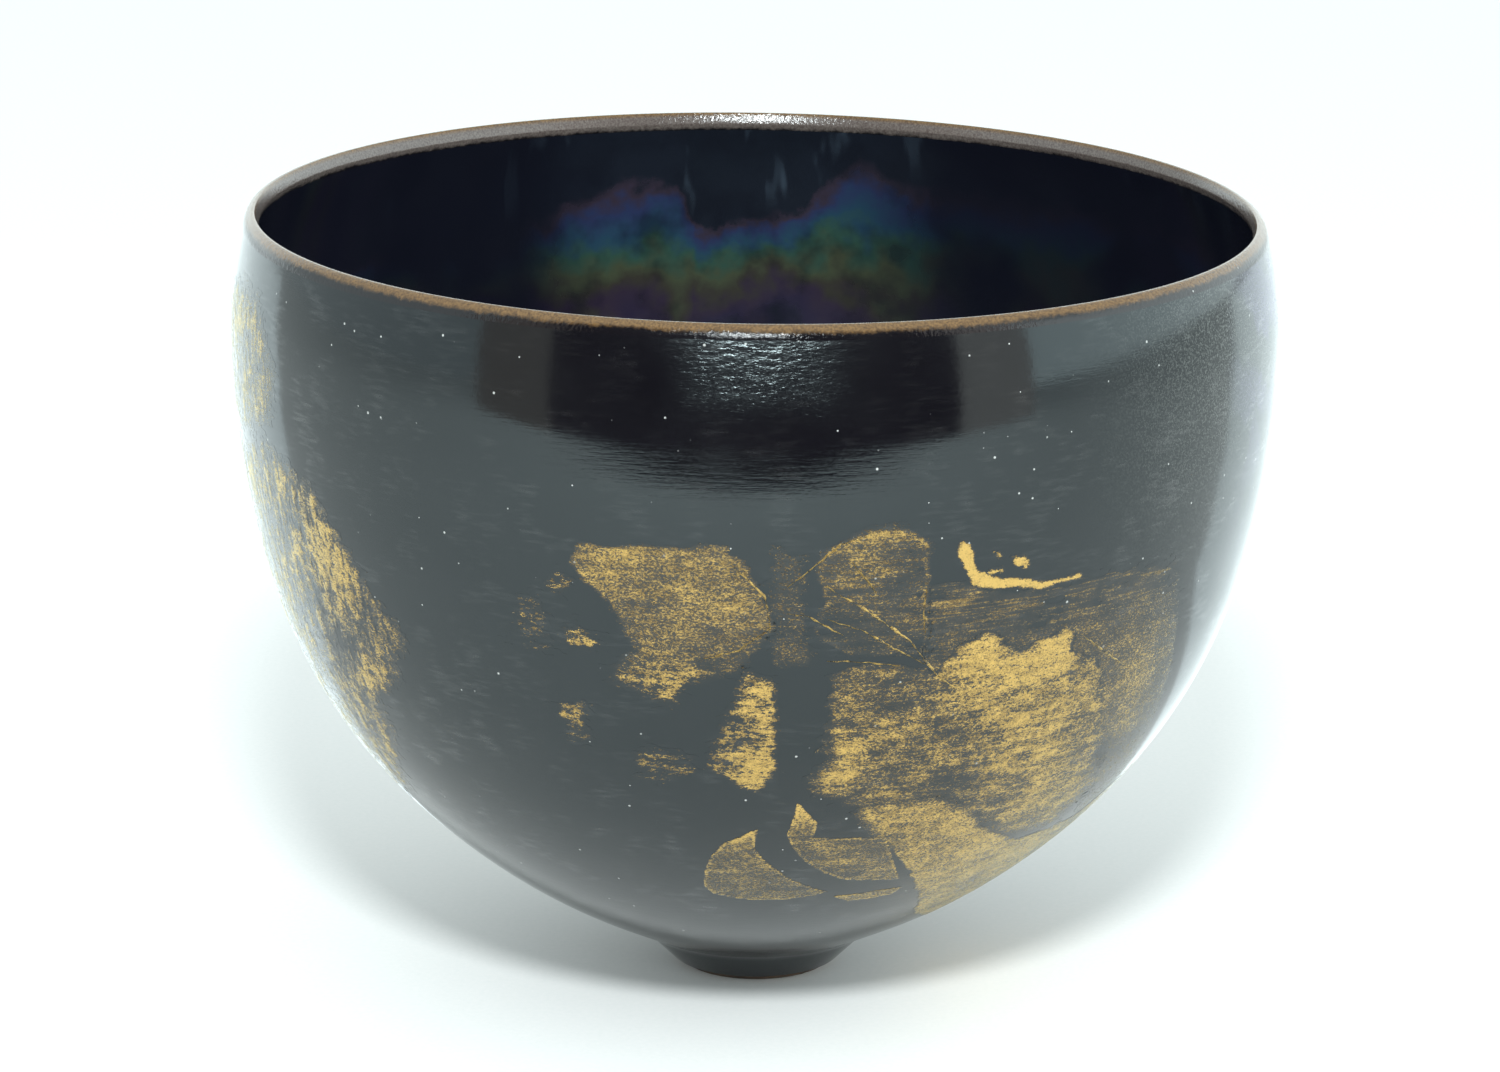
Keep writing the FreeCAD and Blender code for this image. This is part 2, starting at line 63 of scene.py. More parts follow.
# From the crest inwards, as (radius, turn): a tight round, the worn bevel and the round into the inside face.
LIP_BEVEL = ((0.18, 49), (7, 9), (0.4, 32))
SEAT_HEIGHT = 3.66
FOOT_RADIUS = 8
FOOT_LEAN = 45
NECK_ARC = 6.2
FOOT_EDGE = 0.8
RECESS_RADIUS = 5.2
RECESS_DEPTH = 1.5
RECESS_EDGE = 0.4
LEAF = 0.05

# Signs of the hand: the lip falls towards +X, the wall waves a little, and the plan isn't quite round.
RIM_FALL = 0.0152
RIM_FALL_FROM = 55
THROWING_WAVE = 0.02
THROWING_PITCH = 9
OUT_OF_ROUND = 0.12
OUT_OF_ROUND_TURN = 0.6
# Nearer to the axis than this, the wave and the out-of-round shrink with the radius.
HAND_RADIUS = 20

# Fineness of the meshes: parts of a full turn, and in mm the longest step along an arc and the leaf's cell.
SEGMENTS = 288
STEP = 0.7
CELL = 0.36
ON_AXIS = 1e-6
# Points along the outlines' small rounds.
NECK_POINTS = 8
CLAY_LIP_POINTS = 15
LIP_ROUND_POINTS = 12
BEVEL_POINTS = 6
FOOT_EDGE_POINTS = 7
RECESS_EDGE_POINTS = 6


# ---------------------------------------------------------------- the pot's shape

def facing(angle):
    """Unit (out, up) direction where the face has turned `angle` degrees below upright."""
    return np.array([math.cos(math.radians(angle)), -math.sin(math.radians(angle))])


def sweep(centre, radius, start, end):
    """Points along an arc of the face, from one facing angle to another."""
    count = max(4, math.ceil(abs(radius * math.radians(end - start)) / STEP))
    return [centre + facing(angle) * radius for angle in np.linspace(start, end, count + 1)]


LIP_CENTRE = np.array([BELLY_RADIUS - LIP_ARC, BELLY_HEIGHT])
LIP_MIDDLE_ARC = LIP_ARC - LIP_THICKNESS / 2
LIP_ANGLE = math.degrees(math.asin((HEIGHT - LIP_THICKNESS / 2 - BELLY_HEIGHT) / LIP_MIDDLE_ARC))
LIP_MIDDLE = LIP_CENTRE + facing(-LIP_ANGLE) * LIP_MIDDLE_ARC
SLOPE = sum(turn for radius, turn in OUTSIDE_ARCS)
JOINT = np.array([FOOT_RADIUS + SEAT_HEIGHT * math.tan(math.radians(FOOT_LEAN)), SEAT_HEIGHT])
NECK_CENTRE = JOINT + facing(FOOT_LEAN) * NECK_ARC


def arcs_down(belly_radius, arcs, skin):
    """Points down the arcs from the belly, with `skin` added to each radius, and the last arc's centre."""
    points = []
    centre = np.array([belly_radius, BELLY_HEIGHT], float)
    radius = 0
    turned = 0
    for arc_radius, turn in arcs:
        centre = centre + facing(turned) * (radius - arc_radius)
        radius = arc_radius
        points += sweep(centre, radius + skin, turned, turned + turn)[1:]
        turned += turn
    return points, centre


def outside_face(skin, top=BAND_OUTSIDE):
    """The outside from the lip arc at angle `top` down to the end of the cone over the foot."""
    points, _ = arcs_down(BELLY_RADIUS, OUTSIDE_ARCS, skin)
    neck = NECK_CENTRE - facing(SLOPE) * (NECK_ARC - GLAZE - skin)
    return sweep(LIP_CENTRE, LIP_ARC + skin, -top, 0) + points + [neck]


def inside_face(skin, top=BAND_INSIDE):
    """The inside from the lip arc down to the axis."""
    points, centre = arcs_down(BELLY_RADIUS - LIP_THICKNESS, INSIDE_ARCS, skin)
    shift = centre[0] / facing(SLOPE)[0]
    bottom = sweep(centre - facing(SLOPE) * shift, INSIDE_ARCS[-1][0] + shift + skin, SLOPE, 90)
    return sweep(LIP_CENTRE, LIP_ARC - LIP_THICKNESS + skin, -top, 0) + points + bottom[1:]


def foot_side(height, skin):
    """The point of the foot's leaning side at a height."""
    lean = math.radians(FOOT_LEAN)
    return np.array([FOOT_RADIUS + height * math.tan(lean) + (GLAZE + skin) / math.cos(lean), height])


def neck(skin):
    """Points down the hollow between the cone and the foot's side, after its first."""
    angles = np.linspace(SLOPE, FOOT_LEAN, NECK_POINTS)[1:]
    return [NECK_CENTRE - facing(angle) * (NECK_ARC - GLAZE - skin) for angle in angles]


def on_lip(out, up):
    """A point by its distance out from the middle of the lip, and up along the wall from the lip's round."""
    return LIP_MIDDLE + facing(-LIP_ANGLE) * out + facing(-LIP_ANGLE - 90) * up


def clay_crest():
    """The round of the clay lip, from outside to inside."""
    radius = LIP_THICKNESS / 2 - GLAZE
    turns = np.linspace(0, math.pi, CLAY_LIP_POINTS)
    return [on_lip(radius * math.cos(turn), radius * math.sin(turn)) for turn in turns]


def lip_crest():
    """The glazed lip from outside to inside: a long round, then a worn bevel."""
    half = LIP_THICKNESS / 2
    run_out = LIP_ARC * math.radians(LIP_ANGLE - BAND_OUTSIDE)
    points = [on_lip(half * math.cos(turn), (half + run_out) * math.sin(turn) - run_out)
              for turn in np.linspace(0, math.pi / 2, LIP_ROUND_POINTS)]
    turned = 90
    at = np.array([0, half])
    for radius, turn in LIP_BEVEL:
        centre = at + facing(turned) * radius
        for angle in np.linspace(turned, turned - turn, BEVEL_POINTS)[1:]:
            at = centre - facing(angle) * radius
            points.append(on_lip(*at))
        turned -= turn
    return points


def clay_outline():
    """The clay wall: outside down to the joint with the foot, and the inside back up to the lip."""
    outside = outside_face(-GLAZE, LIP_ANGLE) + neck(-GLAZE)
    inside = inside_face(GLAZE)
    return outside + [np.array([0, SEAT_HEIGHT])] + inside[::-1] + clay_crest()[::-1][1:-1]


def outer_glaze_outline():
    """The coat outside: its face from lip to foot, and back up along the clay."""
    face = outside_face(0) + neck(0) + [foot_side(FOOT_EDGE, 0)]
    back = outside_face(-GLAZE) + neck(-GLAZE) + [foot_side(FOOT_EDGE, -GLAZE)]
    return face + back[::-1]


def inner_glaze_outline():
    """The coat inside: its face from the brown lip down to the axis, and back up along the clay."""
    return inside_face(0) + inside_face(GLAZE)[::-1]


def lip_outline():
    """The brown coat: over the lip outside in, then back along the clay."""
    outside, outside_clay = [LIP_CENTRE + facing(-BAND_OUTSIDE) * (LIP_ARC + skin) for skin in (0, -GLAZE)]
    inside, inside_clay = [
        LIP_CENTRE + facing(-BAND_INSIDE) * (LIP_ARC - LIP_THICKNESS + skin) for skin in (0, GLAZE)]
    return [outside] + lip_crest()[1:] + [inside, inside_clay] + clay_crest()[::-1] + [outside_clay]


def foot_outline():
    """The foot: its side, its worn edge, the ring it stands on and the hollow under it."""
    edge_top = FOOT_EDGE * (1 - math.sin(math.radians(FOOT_LEAN)))
    edge_centre = foot_side(edge_top, -GLAZE) - facing(FOOT_LEAN) * FOOT_EDGE
    mouth_centre = np.array([RECESS_RADIUS + RECESS_EDGE, RECESS_EDGE])
    edge = [edge_centre + facing(angle) * FOOT_EDGE for angle in np.linspace(FOOT_LEAN, 90, FOOT_EDGE_POINTS)]
    mouth = [mouth_centre - facing(-angle) * RECESS_EDGE for angle in np.linspace(90, 0, RECESS_EDGE_POINTS)]
    top = [np.array([0, SEAT_HEIGHT]), JOINT]
    return top + edge + mouth + [np.array([RECESS_RADIUS, RECESS_DEPTH]), np.array([0, RECESS_DEPTH])]


def by_hand(points):
    """Pot points (x, y, z in mm), moved by the signs of the hand."""
    x, y, z = points[:, 0], points[:, 1], points[:, 2]
    azimuth = np.arctan2(x, -y)
    rise = np.clip((z - RIM_FALL_FROM) / (HEIGHT - RIM_FALL_FROM), 0, 1)
    height_share = np.clip(z / BELLY_HEIGHT, 0, 1)
    wave = THROWING_WAVE * np.sin(2 * math.pi * z / THROWING_PITCH + azimuth)
    grow = wave * height_share + OUT_OF_ROUND * height_share * np.cos(2 * azimuth + OUT_OF_ROUND_TURN)
    scale = 1 + grow / np.maximum(np.hypot(x, y), HAND_RADIUS)
    return np.stack([x * scale, y * scale, z - RIM_FALL * x * rise * rise], axis=1)


def write_mesh(name, points, faces, smooth_angle=40):
    """A piece from points in mm, smooth but for its sharp edges, riding on the pot."""
    mesh = bpy.data.meshes.new(name)
    mesh.from_pydata((np.asarray(points) * MM).tolist(), [], faces)
    mesh.validate()
    mesh.shade_smooth()
    mesh.set_sharp_from_angle(angle=math.radians(smooth_angle))
    piece = bpy.data.objects.new(name, mesh)
    bpy.context.scene.collection.objects.link(piece)
    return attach(piece, BODY)


def lathe(name, outline):
    """A closed outline of (radius, height) turned about the axis, then moved by hand."""
    points = []
    rings = []
    for radius, height in outline:
        first = len(points)
        count = SEGMENTS if radius > ON_AXIS else 1
        for turn in range(count):
            angle = 2 * math.pi * turn / SEGMENTS
            points.append((radius * math.sin(angle), -radius * math.cos(angle), height))
        rings.append((first, count))
    faces = []
    for (here, here_count), (there, there_count) in zip(rings, rings[1:] + rings[:1]):
        for turn in range(SEGMENTS):
            after = (turn + 1) % SEGMENTS
            corners = [here + turn % here_count, there + turn % there_count,
                       there + after % there_count, here + after % here_count]
            corners = list(dict.fromkeys(corners))
            if len(corners) > 2:
                faces.append(corners)
    return write_mesh(name, by_hand(np.array(points)), faces)


# ---------------------------------------------------------------- gold leaf

FACE = np.array(outside_face(0, top=12))
FACE_LENGTH = np.concatenate([[0], np.cumsum(np.hypot(*np.diff(FACE, axis=0).T))])
FACE_TANGENT = np.gradient(FACE, axis=0)
FACE_TANGENT /= np.linalg.norm(FACE_TANGENT, axis=1)[:, None]

# How squarely a triangle of a CAD leaf faces out of the pot, at least, if it is on the leaf's outer face.
OUTER_FACE = 0.7


def radius_at(length):
    """The pot's radius at a length down the face from its top."""
    return np.interp(length, FACE_LENGTH, FACE[:, 0])


def height_at(length):
    """The height at a length down the face from its top."""
    return np.interp(length, FACE_LENGTH, FACE[:, 1])


def length_at(height):
    """How far down the face, from its top, a height lies."""
    return np.interp(-np.asarray(height), -FACE[:, 1], FACE_LENGTH)


def on_pot(azimuth, length, lift):
    """Points on the pot at azimuths (radians) and lengths down the face, `lift` mm proud of the glaze."""
    out = -np.interp(length, FACE_LENGTH, FACE_TANGENT[:, 1])
    up = np.interp(length, FACE_LENGTH, FACE_TANGENT[:, 0])
    radius = radius_at(length) + lift * out
    height = height_at(length) + lift * up
    return np.stack([radius * np.sin(azimuth), -radius * np.cos(azimuth), height], axis=1)


class Leaf:
    """The edge of a CAD leaf's outer face, laid flat: across and down, in mm, about its middle azimuth."""

    def __init__(self, node):
        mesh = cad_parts[node].data
        points = np.array([vertex.co[:] for vertex in mesh.vertices]) / MM
        azimuth = np.arctan2(points[:, 0], -points[:, 1])
        self.middle = math.atan2(np.sin(azimuth).mean(), np.cos(azimuth).mean())
        self.azimuth = (azimuth - self.middle + math.pi) % (2 * math.pi) - math.pi
        self.length = length_at(points[:, 2])
        self.edges = self.outer_edges(mesh, points)

    def outer_edges(self, mesh, points):
        """Edges that only one triangle of the outer face has."""
        key = {}
        same = [key.setdefault(tuple(np.round(point, 3)), index) for index, point in enumerate(points)]
        uses = {}
        for face in mesh.polygons:
            centre = np.array(face.center[:]) / MM
            length = length_at(centre[2])
            azimuth = math.atan2(centre[0], -centre[1])
            outward = on_pot(np.array([azimuth]), np.array([length]), 1)[0]
            outward -= on_pot(np.array([azimuth]), np.array([length]), 0)[0]
            if np.dot(outward, face.normal) < OUTER_FACE:
                continue
            corners = [same[index] for index in face.vertices]
            for pair in zip(corners, corners[1:] + corners[:1]):
                uses.setdefault(frozenset(pair), []).append(pair)
        flat = np.stack([self.azimuth * radius_at(self.length), self.length], axis=1)
        return np.array([[flat[a], flat[b]] for pairs in uses.values() if len(pairs) == 1 for a, b in pairs])

    def depth(self, across, down):
        """How far inside the edge each point lies, in mm. Outside is negative."""
        best = np.full(across.shape, np.inf)
        inside = np.zeros(across.shape, bool)
        for start, end in self.edges:
            along = end - start
            length2 = max(along @ along, 1e-12)
            share = np.clip(((across - start[0]) * along[0] + (down - start[1]) * along[1]) / length2, 0, 1)
            off_across = across - start[0] - share * along[0]
            off_down = down - start[1] - share * along[1]
            best = np.minimum(best, np.hypot(off_across, off_down))
            if start[1] != end[1]:
                crosses = (start[1] > down) != (end[1] > down)
                inside ^= crosses & (across < start[0] + (down - start[1]) / along[1] * along[0])
        return np.where(inside, best, -best)


def noise_at(points, size, weight=1, octaves=3, stretch=(1, 1, 1)):
    """Rough noise of about -1 to 1, times a weight, with features of `size` mm at each point."""
    factor = np.array(stretch) / size
    return weight * np.array([noise.fractal(Vector(point * factor), 0.9, 2.1, octaves) for point in points])


def facing_across(points, azimuth):
    """Distance across, seen squarely from an azimuth in degrees."""
    turn = math.radians(azimuth)
    return points[:, 0] * math.cos(turn) + points[:, 1] * math.sin(turn)


# How each scrap is worn. cover: share of its gold that is left. ragged: unevenness of its edge, in mm.
# dust: reach of the gold dust round it, in mm. dust_cover: how dense that is. edge: how bold its edge is.
# streak: brushed sideways. flake: flakes, not fine grain. cracks: upright cracks. azimuth: where it faces.
# slope: change of cover per mm across and up, and from where. spots: (across, up, radius, change of cover).
# most: its fullest cover. Four numbers in place of one are the value low down and high up, and those heights.
CRESCENT = dict(cover=0.42, ragged=0.1, dust=0, edge=0.25, streak=0.3, flake=0)
THICK_FLECK = dict(cover=0.75, ragged=0.35, dust=0.3, streak=0, flake=1, most=1)
LOOKS = {
    "gold_leaf_upper_left": dict(
        cover=(0.36, 0.46, 46, 52), ragged=0.5, dust=(1.8, 0.5, 48, 56), dust_cover=0.7, streak=0.25,
        flake=(0.9, 0.05, 46, 52), spots=((-15, 62, 4, 0.08), (2, 59, 3, -0.14), (-9, 47, 3, 0.12))),
    "gold_leaf_upright_strip": dict(
        cover=0.47, ragged=0.6, dust=1.1, dust_cover=0.7, streak=0.25, flake=0.95, slope=(0.05, 0, -1.5, 42),
        spots=((0, 36.5, 2, 0.2), (-4, 38, 3, 0.12), (-2, 43, 3, -0.05))),
    "gold_leaf_thin_strip": dict(cover=0.27, ragged=0.8, dust=2.2, dust_cover=0.8, streak=0.2, flake=0.1),
    "gold_leaf_half_disc": dict(
        cover=0.29, ragged=0.3, dust=1.4, edge=0.18, streak=0.5, flake=0.1, slope=(0, 0.01, 11, 56),
        spots=((11, 61, 3.5, 0.1), (6, 52, 3, -0.1), (13, 54, 3, 0.06))),
    "gold_leaf_crescent_left": dict(CRESCENT, spots=((-1.6, 29, 1.5, 0.35), (-4, 25.5, 4, 0.06))),
    "gold_leaf_crescent_right": dict(CRESCENT, spots=((4.6, 31, 1.8, 0.3),)),
    "gold_leaf_sliver": dict(CRESCENT, cover=0.46, ragged=0.12, edge=0.2),
    "gold_leaf_core": dict(
        cover=0.48, ragged=0.8, dust=(3, 0.8, 36, 45), dust_cover=0.9, streak=0.3, flake=0.45, azimuth=30,
        slope=(0.002, 0.001, 0, 40),
        spots=((-4, 49, 3.2, 0.3), (3.8, 48, 3, 0.3), (0, 44, 4, 0.1), (5, 38, 6, 0.08), (9, 29.5, 4, 0.14),
               (-13, 46, 4, -0.1), (-4.5, 33.5, 2.2, -0.3), (-17, 38, 3, 0.2), (-11, 40, 2.5, 0.14),
               (-12, 33, 3, 0.14))),
    "gold_leaf_veil": dict(
        cover=(0.31, 0.27, 47, 54), ragged=0.4, dust=1.4, streak=(0.2, 1, 48, 54), flake=0, azimuth=30,
        spots=((17, 42, 6, 0.2),)),
    "gold_leaf_drip": dict(cover=0.92, ragged=0.25, dust=0.2, streak=0, flake=0.5, most=1),
    "gold_leaf_lower_right": dict(
        cover=0.6, ragged=0.3, dust=(0.3, 1.8, 24, 30), dust_cover=0.85, streak=0.1, flake=0.25, azimuth=60,
        spots=((-27, 27, 4, -0.1), (-16, 26, 4, 0.1))),
    "gold_leaf_wrap_right": dict(cover=0.5, ragged=0.8, dust=1.2, streak=0.3, flake=0.2),
    "gold_leaf_side_upper": dict(
        cover=0.54, ragged=0.8, dust=2.6, dust_cover=0.8, streak=0, flake=0.3, cracks=0.7),
    "gold_leaf_side_lower": dict(
        cover=0.52, ragged=0.9, dust=2.4, dust_cover=0.8, streak=0, flake=0.3, cracks=0.9, azimuth=-70,
        spots=((15, 54, 4, 0.35), (12, 44, 4, -0.14), (18, 42, 2.5, 0.2), (4, 66, 4, -0.1))),
    "gold_leaf_back_upper": dict(
        cover=0.42, ragged=0.9, dust=2.2, dust_cover=0.8, streak=0.25, flake=0.3, azimuth=150,
        spots=((-6, 52, 5, 0.12), (8, 46, 4, -0.16))),
    "gold_leaf_back_lower": dict(cover=0.38, ragged=0.6, dust=1.6, dust_cover=0.8, streak=0.25, flake=0.2),
    "gold_fleck_right_round": dict(THICK_FLECK, cover=0.85, ragged=0.3),
    "gold_fleck_right_high": THICK_FLECK,
    "gold_fleck_right_low": THICK_FLECK,
    "gold_fleck_left_high": dict(cover=0.46, ragged=0.7, dust=1.2, streak=0.1, flake=1),
    "gold_fleck_left_middle": dict(cover=0.5, ragged=0.7, dust=1.6, streak=0.3, flake=1),
    "gold_fleck_left_outer": dict(cover=0.32, ragged=0.8, dust=2, streak=0, flake=1),
    "gold_fleck_left_low": dict(cover=0.38, ragged=0.9, dust=2, streak=0.1, flake=1),
    "gold_fleck_left_foot": dict(cover=0.44, ragged=0.8, dust=1.6, streak=0.2, flake=1),
}
MOST_COVER = 0.69
DUST_COVER = 0.42
# A leaf's lift off the glaze grows from its lowest to the full thickness between these two covers.
LOW_LEAF = 0.008
LIFT_COVER = (0.35, 0.8)
# Depths inside the outline between which the bold edge fades, and half the width of the outline's own fade.
BOLD_EDGE = (0.5, 0.1)
EDGE_FADE = 0.12

# Unevenness of the leaf, as (size in mm, weight), and the stretch of its noise.
PATCHES = (4.5, 0.2)
WORN_SPOTS = (1.3, 0.22)
STREAKS = (4, 0.12)
CRACKED_BLOCKS = (2.6, 0.3)
HOLES = (1.0, 0.2)
FLAT_WEAR = (0.45, 0.45, 1.7)
UPRIGHT_WEAR = (1.6, 1.6, 0.35)
SIDEWAYS_WEAR = (1, 1, 7)
HOLE_COVER = 0.14
RAGGED_SIZE = 1.5
CRACK_SIZE = 1.7
CRACK_DEPTH = 0.5
CRACK_FINENESS = 5


def fade(value, low, high):
    """0 to 1, eased, as a value goes from low to high."""
    share = np.clip((value - low) / (high - low), 0, 1)
    return share * share * (3 - 2 * share)


def by_height(value, up):
    """One number at every height, or its change from low down to high up."""
    if isinstance(value, tuple):
        low, high, up_low, up_high = value
        return low + (high - low) * fade(up, up_low, up_high)
    return np.full(len(up), float(value))


def cover_at(points, look):
    """Share of gold left at each point of a scrap, 0 to 1."""
    across = facing_across(points, look.get("azimuth", 0))
    up = points[:, 2]
    cover = by_height(look["cover"], up)
    if "slope" in look:
        per_across, per_up, from_across, from_up = look["slope"]
        cover += per_across * (across - from_across) + per_up * (up - from_up)
    for spot_across, spot_up, radius, change in look.get("spots", ()):
        cover += change * np.exp(-((across - spot_across) ** 2 + (up - spot_up) ** 2) / radius ** 2)
    patchy = 0.5 + 0.5 * by_height(look["flake"], up)
    cover += patchy * (noise_at(points, *PATCHES) + noise_at(points, *WORN_SPOTS, stretch=FLAT_WEAR))
    cover += by_height(look["streak"], up) * noise_at(points, *STREAKS, stretch=SIDEWAYS_WEAR)
    if "cracks" in look:
        ridges = 1 - np.abs(noise_at(points, CRACK_SIZE, stretch=UPRIGHT_WEAR)) * CRACK_FINENESS
        cover -= look["cracks"] * CRACK_DEPTH * np.clip(ridges, 0, 1)
        cover += look["cracks"] * noise_at(points, *CRACKED_BLOCKS, 2, UPRIGHT_WEAR)
    return np.minimum(cover, look.get("most", MOST_COVER))


def cut_cells(rows, columns, value):
    """Faces of the part of a grid where `value` is positive, as lists of grid corners and cut edges."""
    faces = []
    for row in range(rows - 1):
        for column in range(columns - 1):
            corners = ((row, column), (row + 1, column), (row + 1, column + 1), (row, column + 1))
            face = []
            for here, there in zip(corners, corners[1:] + corners[:1]):
                if value[here] > 0:
                    face.append(here)
                if (value[here] > 0) != (value[there] > 0):
                    face.append(tuple(sorted((here, there))))
            if len(face) > 2:
                faces.append(face)
    return faces


def leaf_grid(leaf, margin):
    """Lengths down the pot and turns from the leaf's middle, for a grid over the leaf and its margin."""
    lengths = np.arange(leaf.length.min() - margin, leaf.length.max() + margin, CELL)
    lengths = lengths[(lengths > 0) & (lengths < FACE_LENGTH[-1])]
    widest = radius_at(lengths).max()
    reach = margin / radius_at(leaf.length).min()
    turns = np.arange(leaf.azimuth.min() - reach, leaf.azimuth.max() + reach, CELL / widest)
    return lengths, turns


def worn_leaf(leaf, look, margin, turn, length):
    """Cover of gold at places on the pot, and a value that is positive where the sheet is."""
    points = on_pot(turn + leaf.middle, length, 0)
    torn = leaf.depth(turn * radius_at(length), length)
    near = np.abs(torn) < 4 * margin
    torn[near] += noise_at(points[near], RAGGED_SIZE, look["ragged"], 4, FLAT_WEAR)
    inside = torn > -margin
    cover = np.zeros(len(points))
    cover[inside] = cover_at(points[inside], look)
    cover += look.get("edge", 0) * fade(torn, *BOLD_EDGE)
    dust = by_height(look["dust"], height_at(length)) + 1e-3
    dusty = look.get("dust_cover", DUST_COVER)
    cover *= dusty * fade(torn, -dust, 0) + (1 - dusty) * fade(torn, -EDGE_FADE, EDGE_FADE)
    kept = np.full(len(points), -1.0)
    kept[inside] = cover[inside] - HOLE_COVER + noise_at(points[inside], *HOLES, 4, FLAT_WEAR)
    return cover, np.minimum(torn + dust, kept)


def build_leaf(node):
    """A torn, worn, closed sheet of leaf in place of a CAD leaf."""
    look = LOOKS[node]
    leaf = Leaf(node)
    margin = look["ragged"] + np.max(np.atleast_1d(look["dust"])[:2]) + CELL
    lengths, turns = leaf_grid(leaf, margin)
    length, turn = np.meshgrid(lengths, turns, indexing="ij")
    cover, value = worn_leaf(leaf, look, margin, turn.ravel(), length.ravel())
    cover = cover.reshape(length.shape)
    value = value.reshape(length.shape)
    value[[0, -1], :] = -1
    value[:, [0, -1]] = -1
    spots = {}
    cells = cut_cells(*value.shape, value)
    faces = [[spots.setdefault(corner, len(spots)) for corner in cell] for cell in cells]
    places = np.array([leaf_place(corner, value, turns, lengths, cover) for corner in spots])
    azimuth = places[:, 0] + leaf.middle
    lift = LOW_LEAF + (LEAF - LOW_LEAF) * fade(places[:, 2], *LIFT_COVER)
    up = height_at(places[:, 1])
    wear = {label: by_height(look[label], up) for label in ("streak", "flake")}
    return sheet(node + "_torn", faces, azimuth, places[:, 1], lift, {"cover": places[:, 2], **wear})


def leaf_place(corner, value, turns, lengths, cover):
    """Azimuth, length and cover at a grid corner, or where a cell's edge is cut."""
    if not isinstance(corner[0], tuple):
        return turns[corner[1]], lengths[corner[0]], cover[corner]
    here, there = corner
    share = value[here] / (value[here] - value[there])
    ends = ((turns[spot[1]], lengths[spot[0]], cover[spot]) for spot in corner)
    return tuple((1 - share) * first + share * last for first, last in zip(*ends))


def sheet(name, top, azimuth, length, lift, wear):
    """A closed sheet of leaf on the pot from its top faces: their underside and edges are added."""
    count = len(azimuth)
    upper = on_pot(azimuth, length, lift)
    lower = on_pot(azimuth, length, -LOW_LEAF)
    sides = dict.fromkeys(pair for face in top for pair in zip(face, face[1:] + face[:1]))
    edges = [[b, a, a + count, b + count] for a, b in sides if (b, a) not in sides]
    under = [[corner + count for corner in face[::-1]] for face in top]
    piece = write_mesh(name, by_hand(np.concatenate([upper, lower])), top + under + edges, 30)
    return write_wear(piece, {label: np.concatenate([values, values]) for label, values in wear.items()})


def write_wear(piece, wear):
    """Keep how a piece of leaf is worn on its points, for its material."""
    for label, values in wear.items():
        attribute = piece.data.attributes.new(label, "FLOAT", "POINT")
        attribute.data.foreach_set("value", np.asarray(values, np.float32))
    return piece


# Folds where the leaf creased on itself: (azimuth it is read from, width in mm, bends as (across, up)).
CREASES = (
    (0, 0.34, ((6.8, 57.7), (11, 54.8), (15.1, 51.4), (18.2, 46.8), (20.1, 45.2))),
    (0, 0.26, ((7, 54.1), (10.5, 52.7), (13.5, 50.6), (17, 48.3))),
    (0, 0.22, ((7, 49.5), (10.6, 49.2), (14.3, 48.5))),
    (0, 0.2, ((9.3, 60.2), (11.2, 57.7), (12, 56.5))),
    (0, 0.2, ((16.8, 56.8), (16.6, 54), (16.8, 51.4))),
    (0, 0.26, ((-2.6, 60.2), (0.8, 56.8), (1.4, 53.3), (0.3, 52.2))),
    (0, 0.24, ((3, 57.6), (6.2, 60.2), (8.5, 62.2), (11.2, 62.7))),
    (0, 0.22, ((3.1, 54.8), (5.1, 54.5), (8.6, 52.2))),
    (0, 0.2, ((-5.3, 49.8), (-1.8, 50.8), (1, 53))),
    (30, 0.24, ((8, 48.7), (11.5, 46.2), (14.7, 44))),
)
CREASE_HEIGHT = 0.09
CREASE_STEP = 0.22
CREASE_SHAKE = 0.12
CREASE_FINENESS = 1.3
# How full a fold is: usually, least and most, how much it breaks up, and the taper of its ends.
CREASE_FULL = 0.95
CREASE_RANGE = (0.25, 1.15)
CREASE_BREAKS = 2.4
CREASE_TAPER = 0.25
CREASE_WEAR = {"cover": 0.66, "streak": 0.0, "flake": 0.7}


def crease(azimuth, width, bends):
    """Rings of points along one fold: its two edges on the leaf and its ridge, thin where it breaks up."""
    bends = np.array(bends, float)
    along = np.concatenate([[0], np.cumsum(np.hypot(*np.diff(bends, axis=0).T))])
    at = np.arange(0, along[-1], CREASE_STEP)
    across = np.interp(at, along, bends[:, 0])
    up = np.interp(at, along, bends[:, 1])
    spots = np.stack([across * CREASE_FINENESS, up * CREASE_FINENESS, np.full(len(at), azimuth)], axis=1)
    shake = np.array([noise.noise_vector(Vector(spot)) for spot in spots])
    across = across + shake[:, 0] * CREASE_SHAKE
    length = length_at(up + shake[:, 1] * CREASE_SHAKE)
    turn = np.arcsin(across / radius_at(length)) + math.radians(azimuth)
    body = np.clip(CREASE_FULL + CREASE_BREAKS * shake[:, 2], *CREASE_RANGE)
    body *= np.sin(np.linspace(CREASE_TAPER, math.pi - CREASE_TAPER, len(at)))
    flat = np.stack([turn * radius_at(length), length], axis=1)
    way = np.gradient(flat, axis=0)
    way /= np.linalg.norm(way, axis=1)[:, None]
    half = (width / 2 * body)[:, None] * np.stack([-way[:, 1], way[:, 0]], axis=1)
    rings = [on_pot((flat + side * half)[:, 0] / radius_at(length), (flat + side * half)[:, 1], lift)
             for side, lift in ((-1, 0), (0, LEAF + CREASE_HEIGHT * body), (1, 0))]
    return np.stack(rings, axis=1)


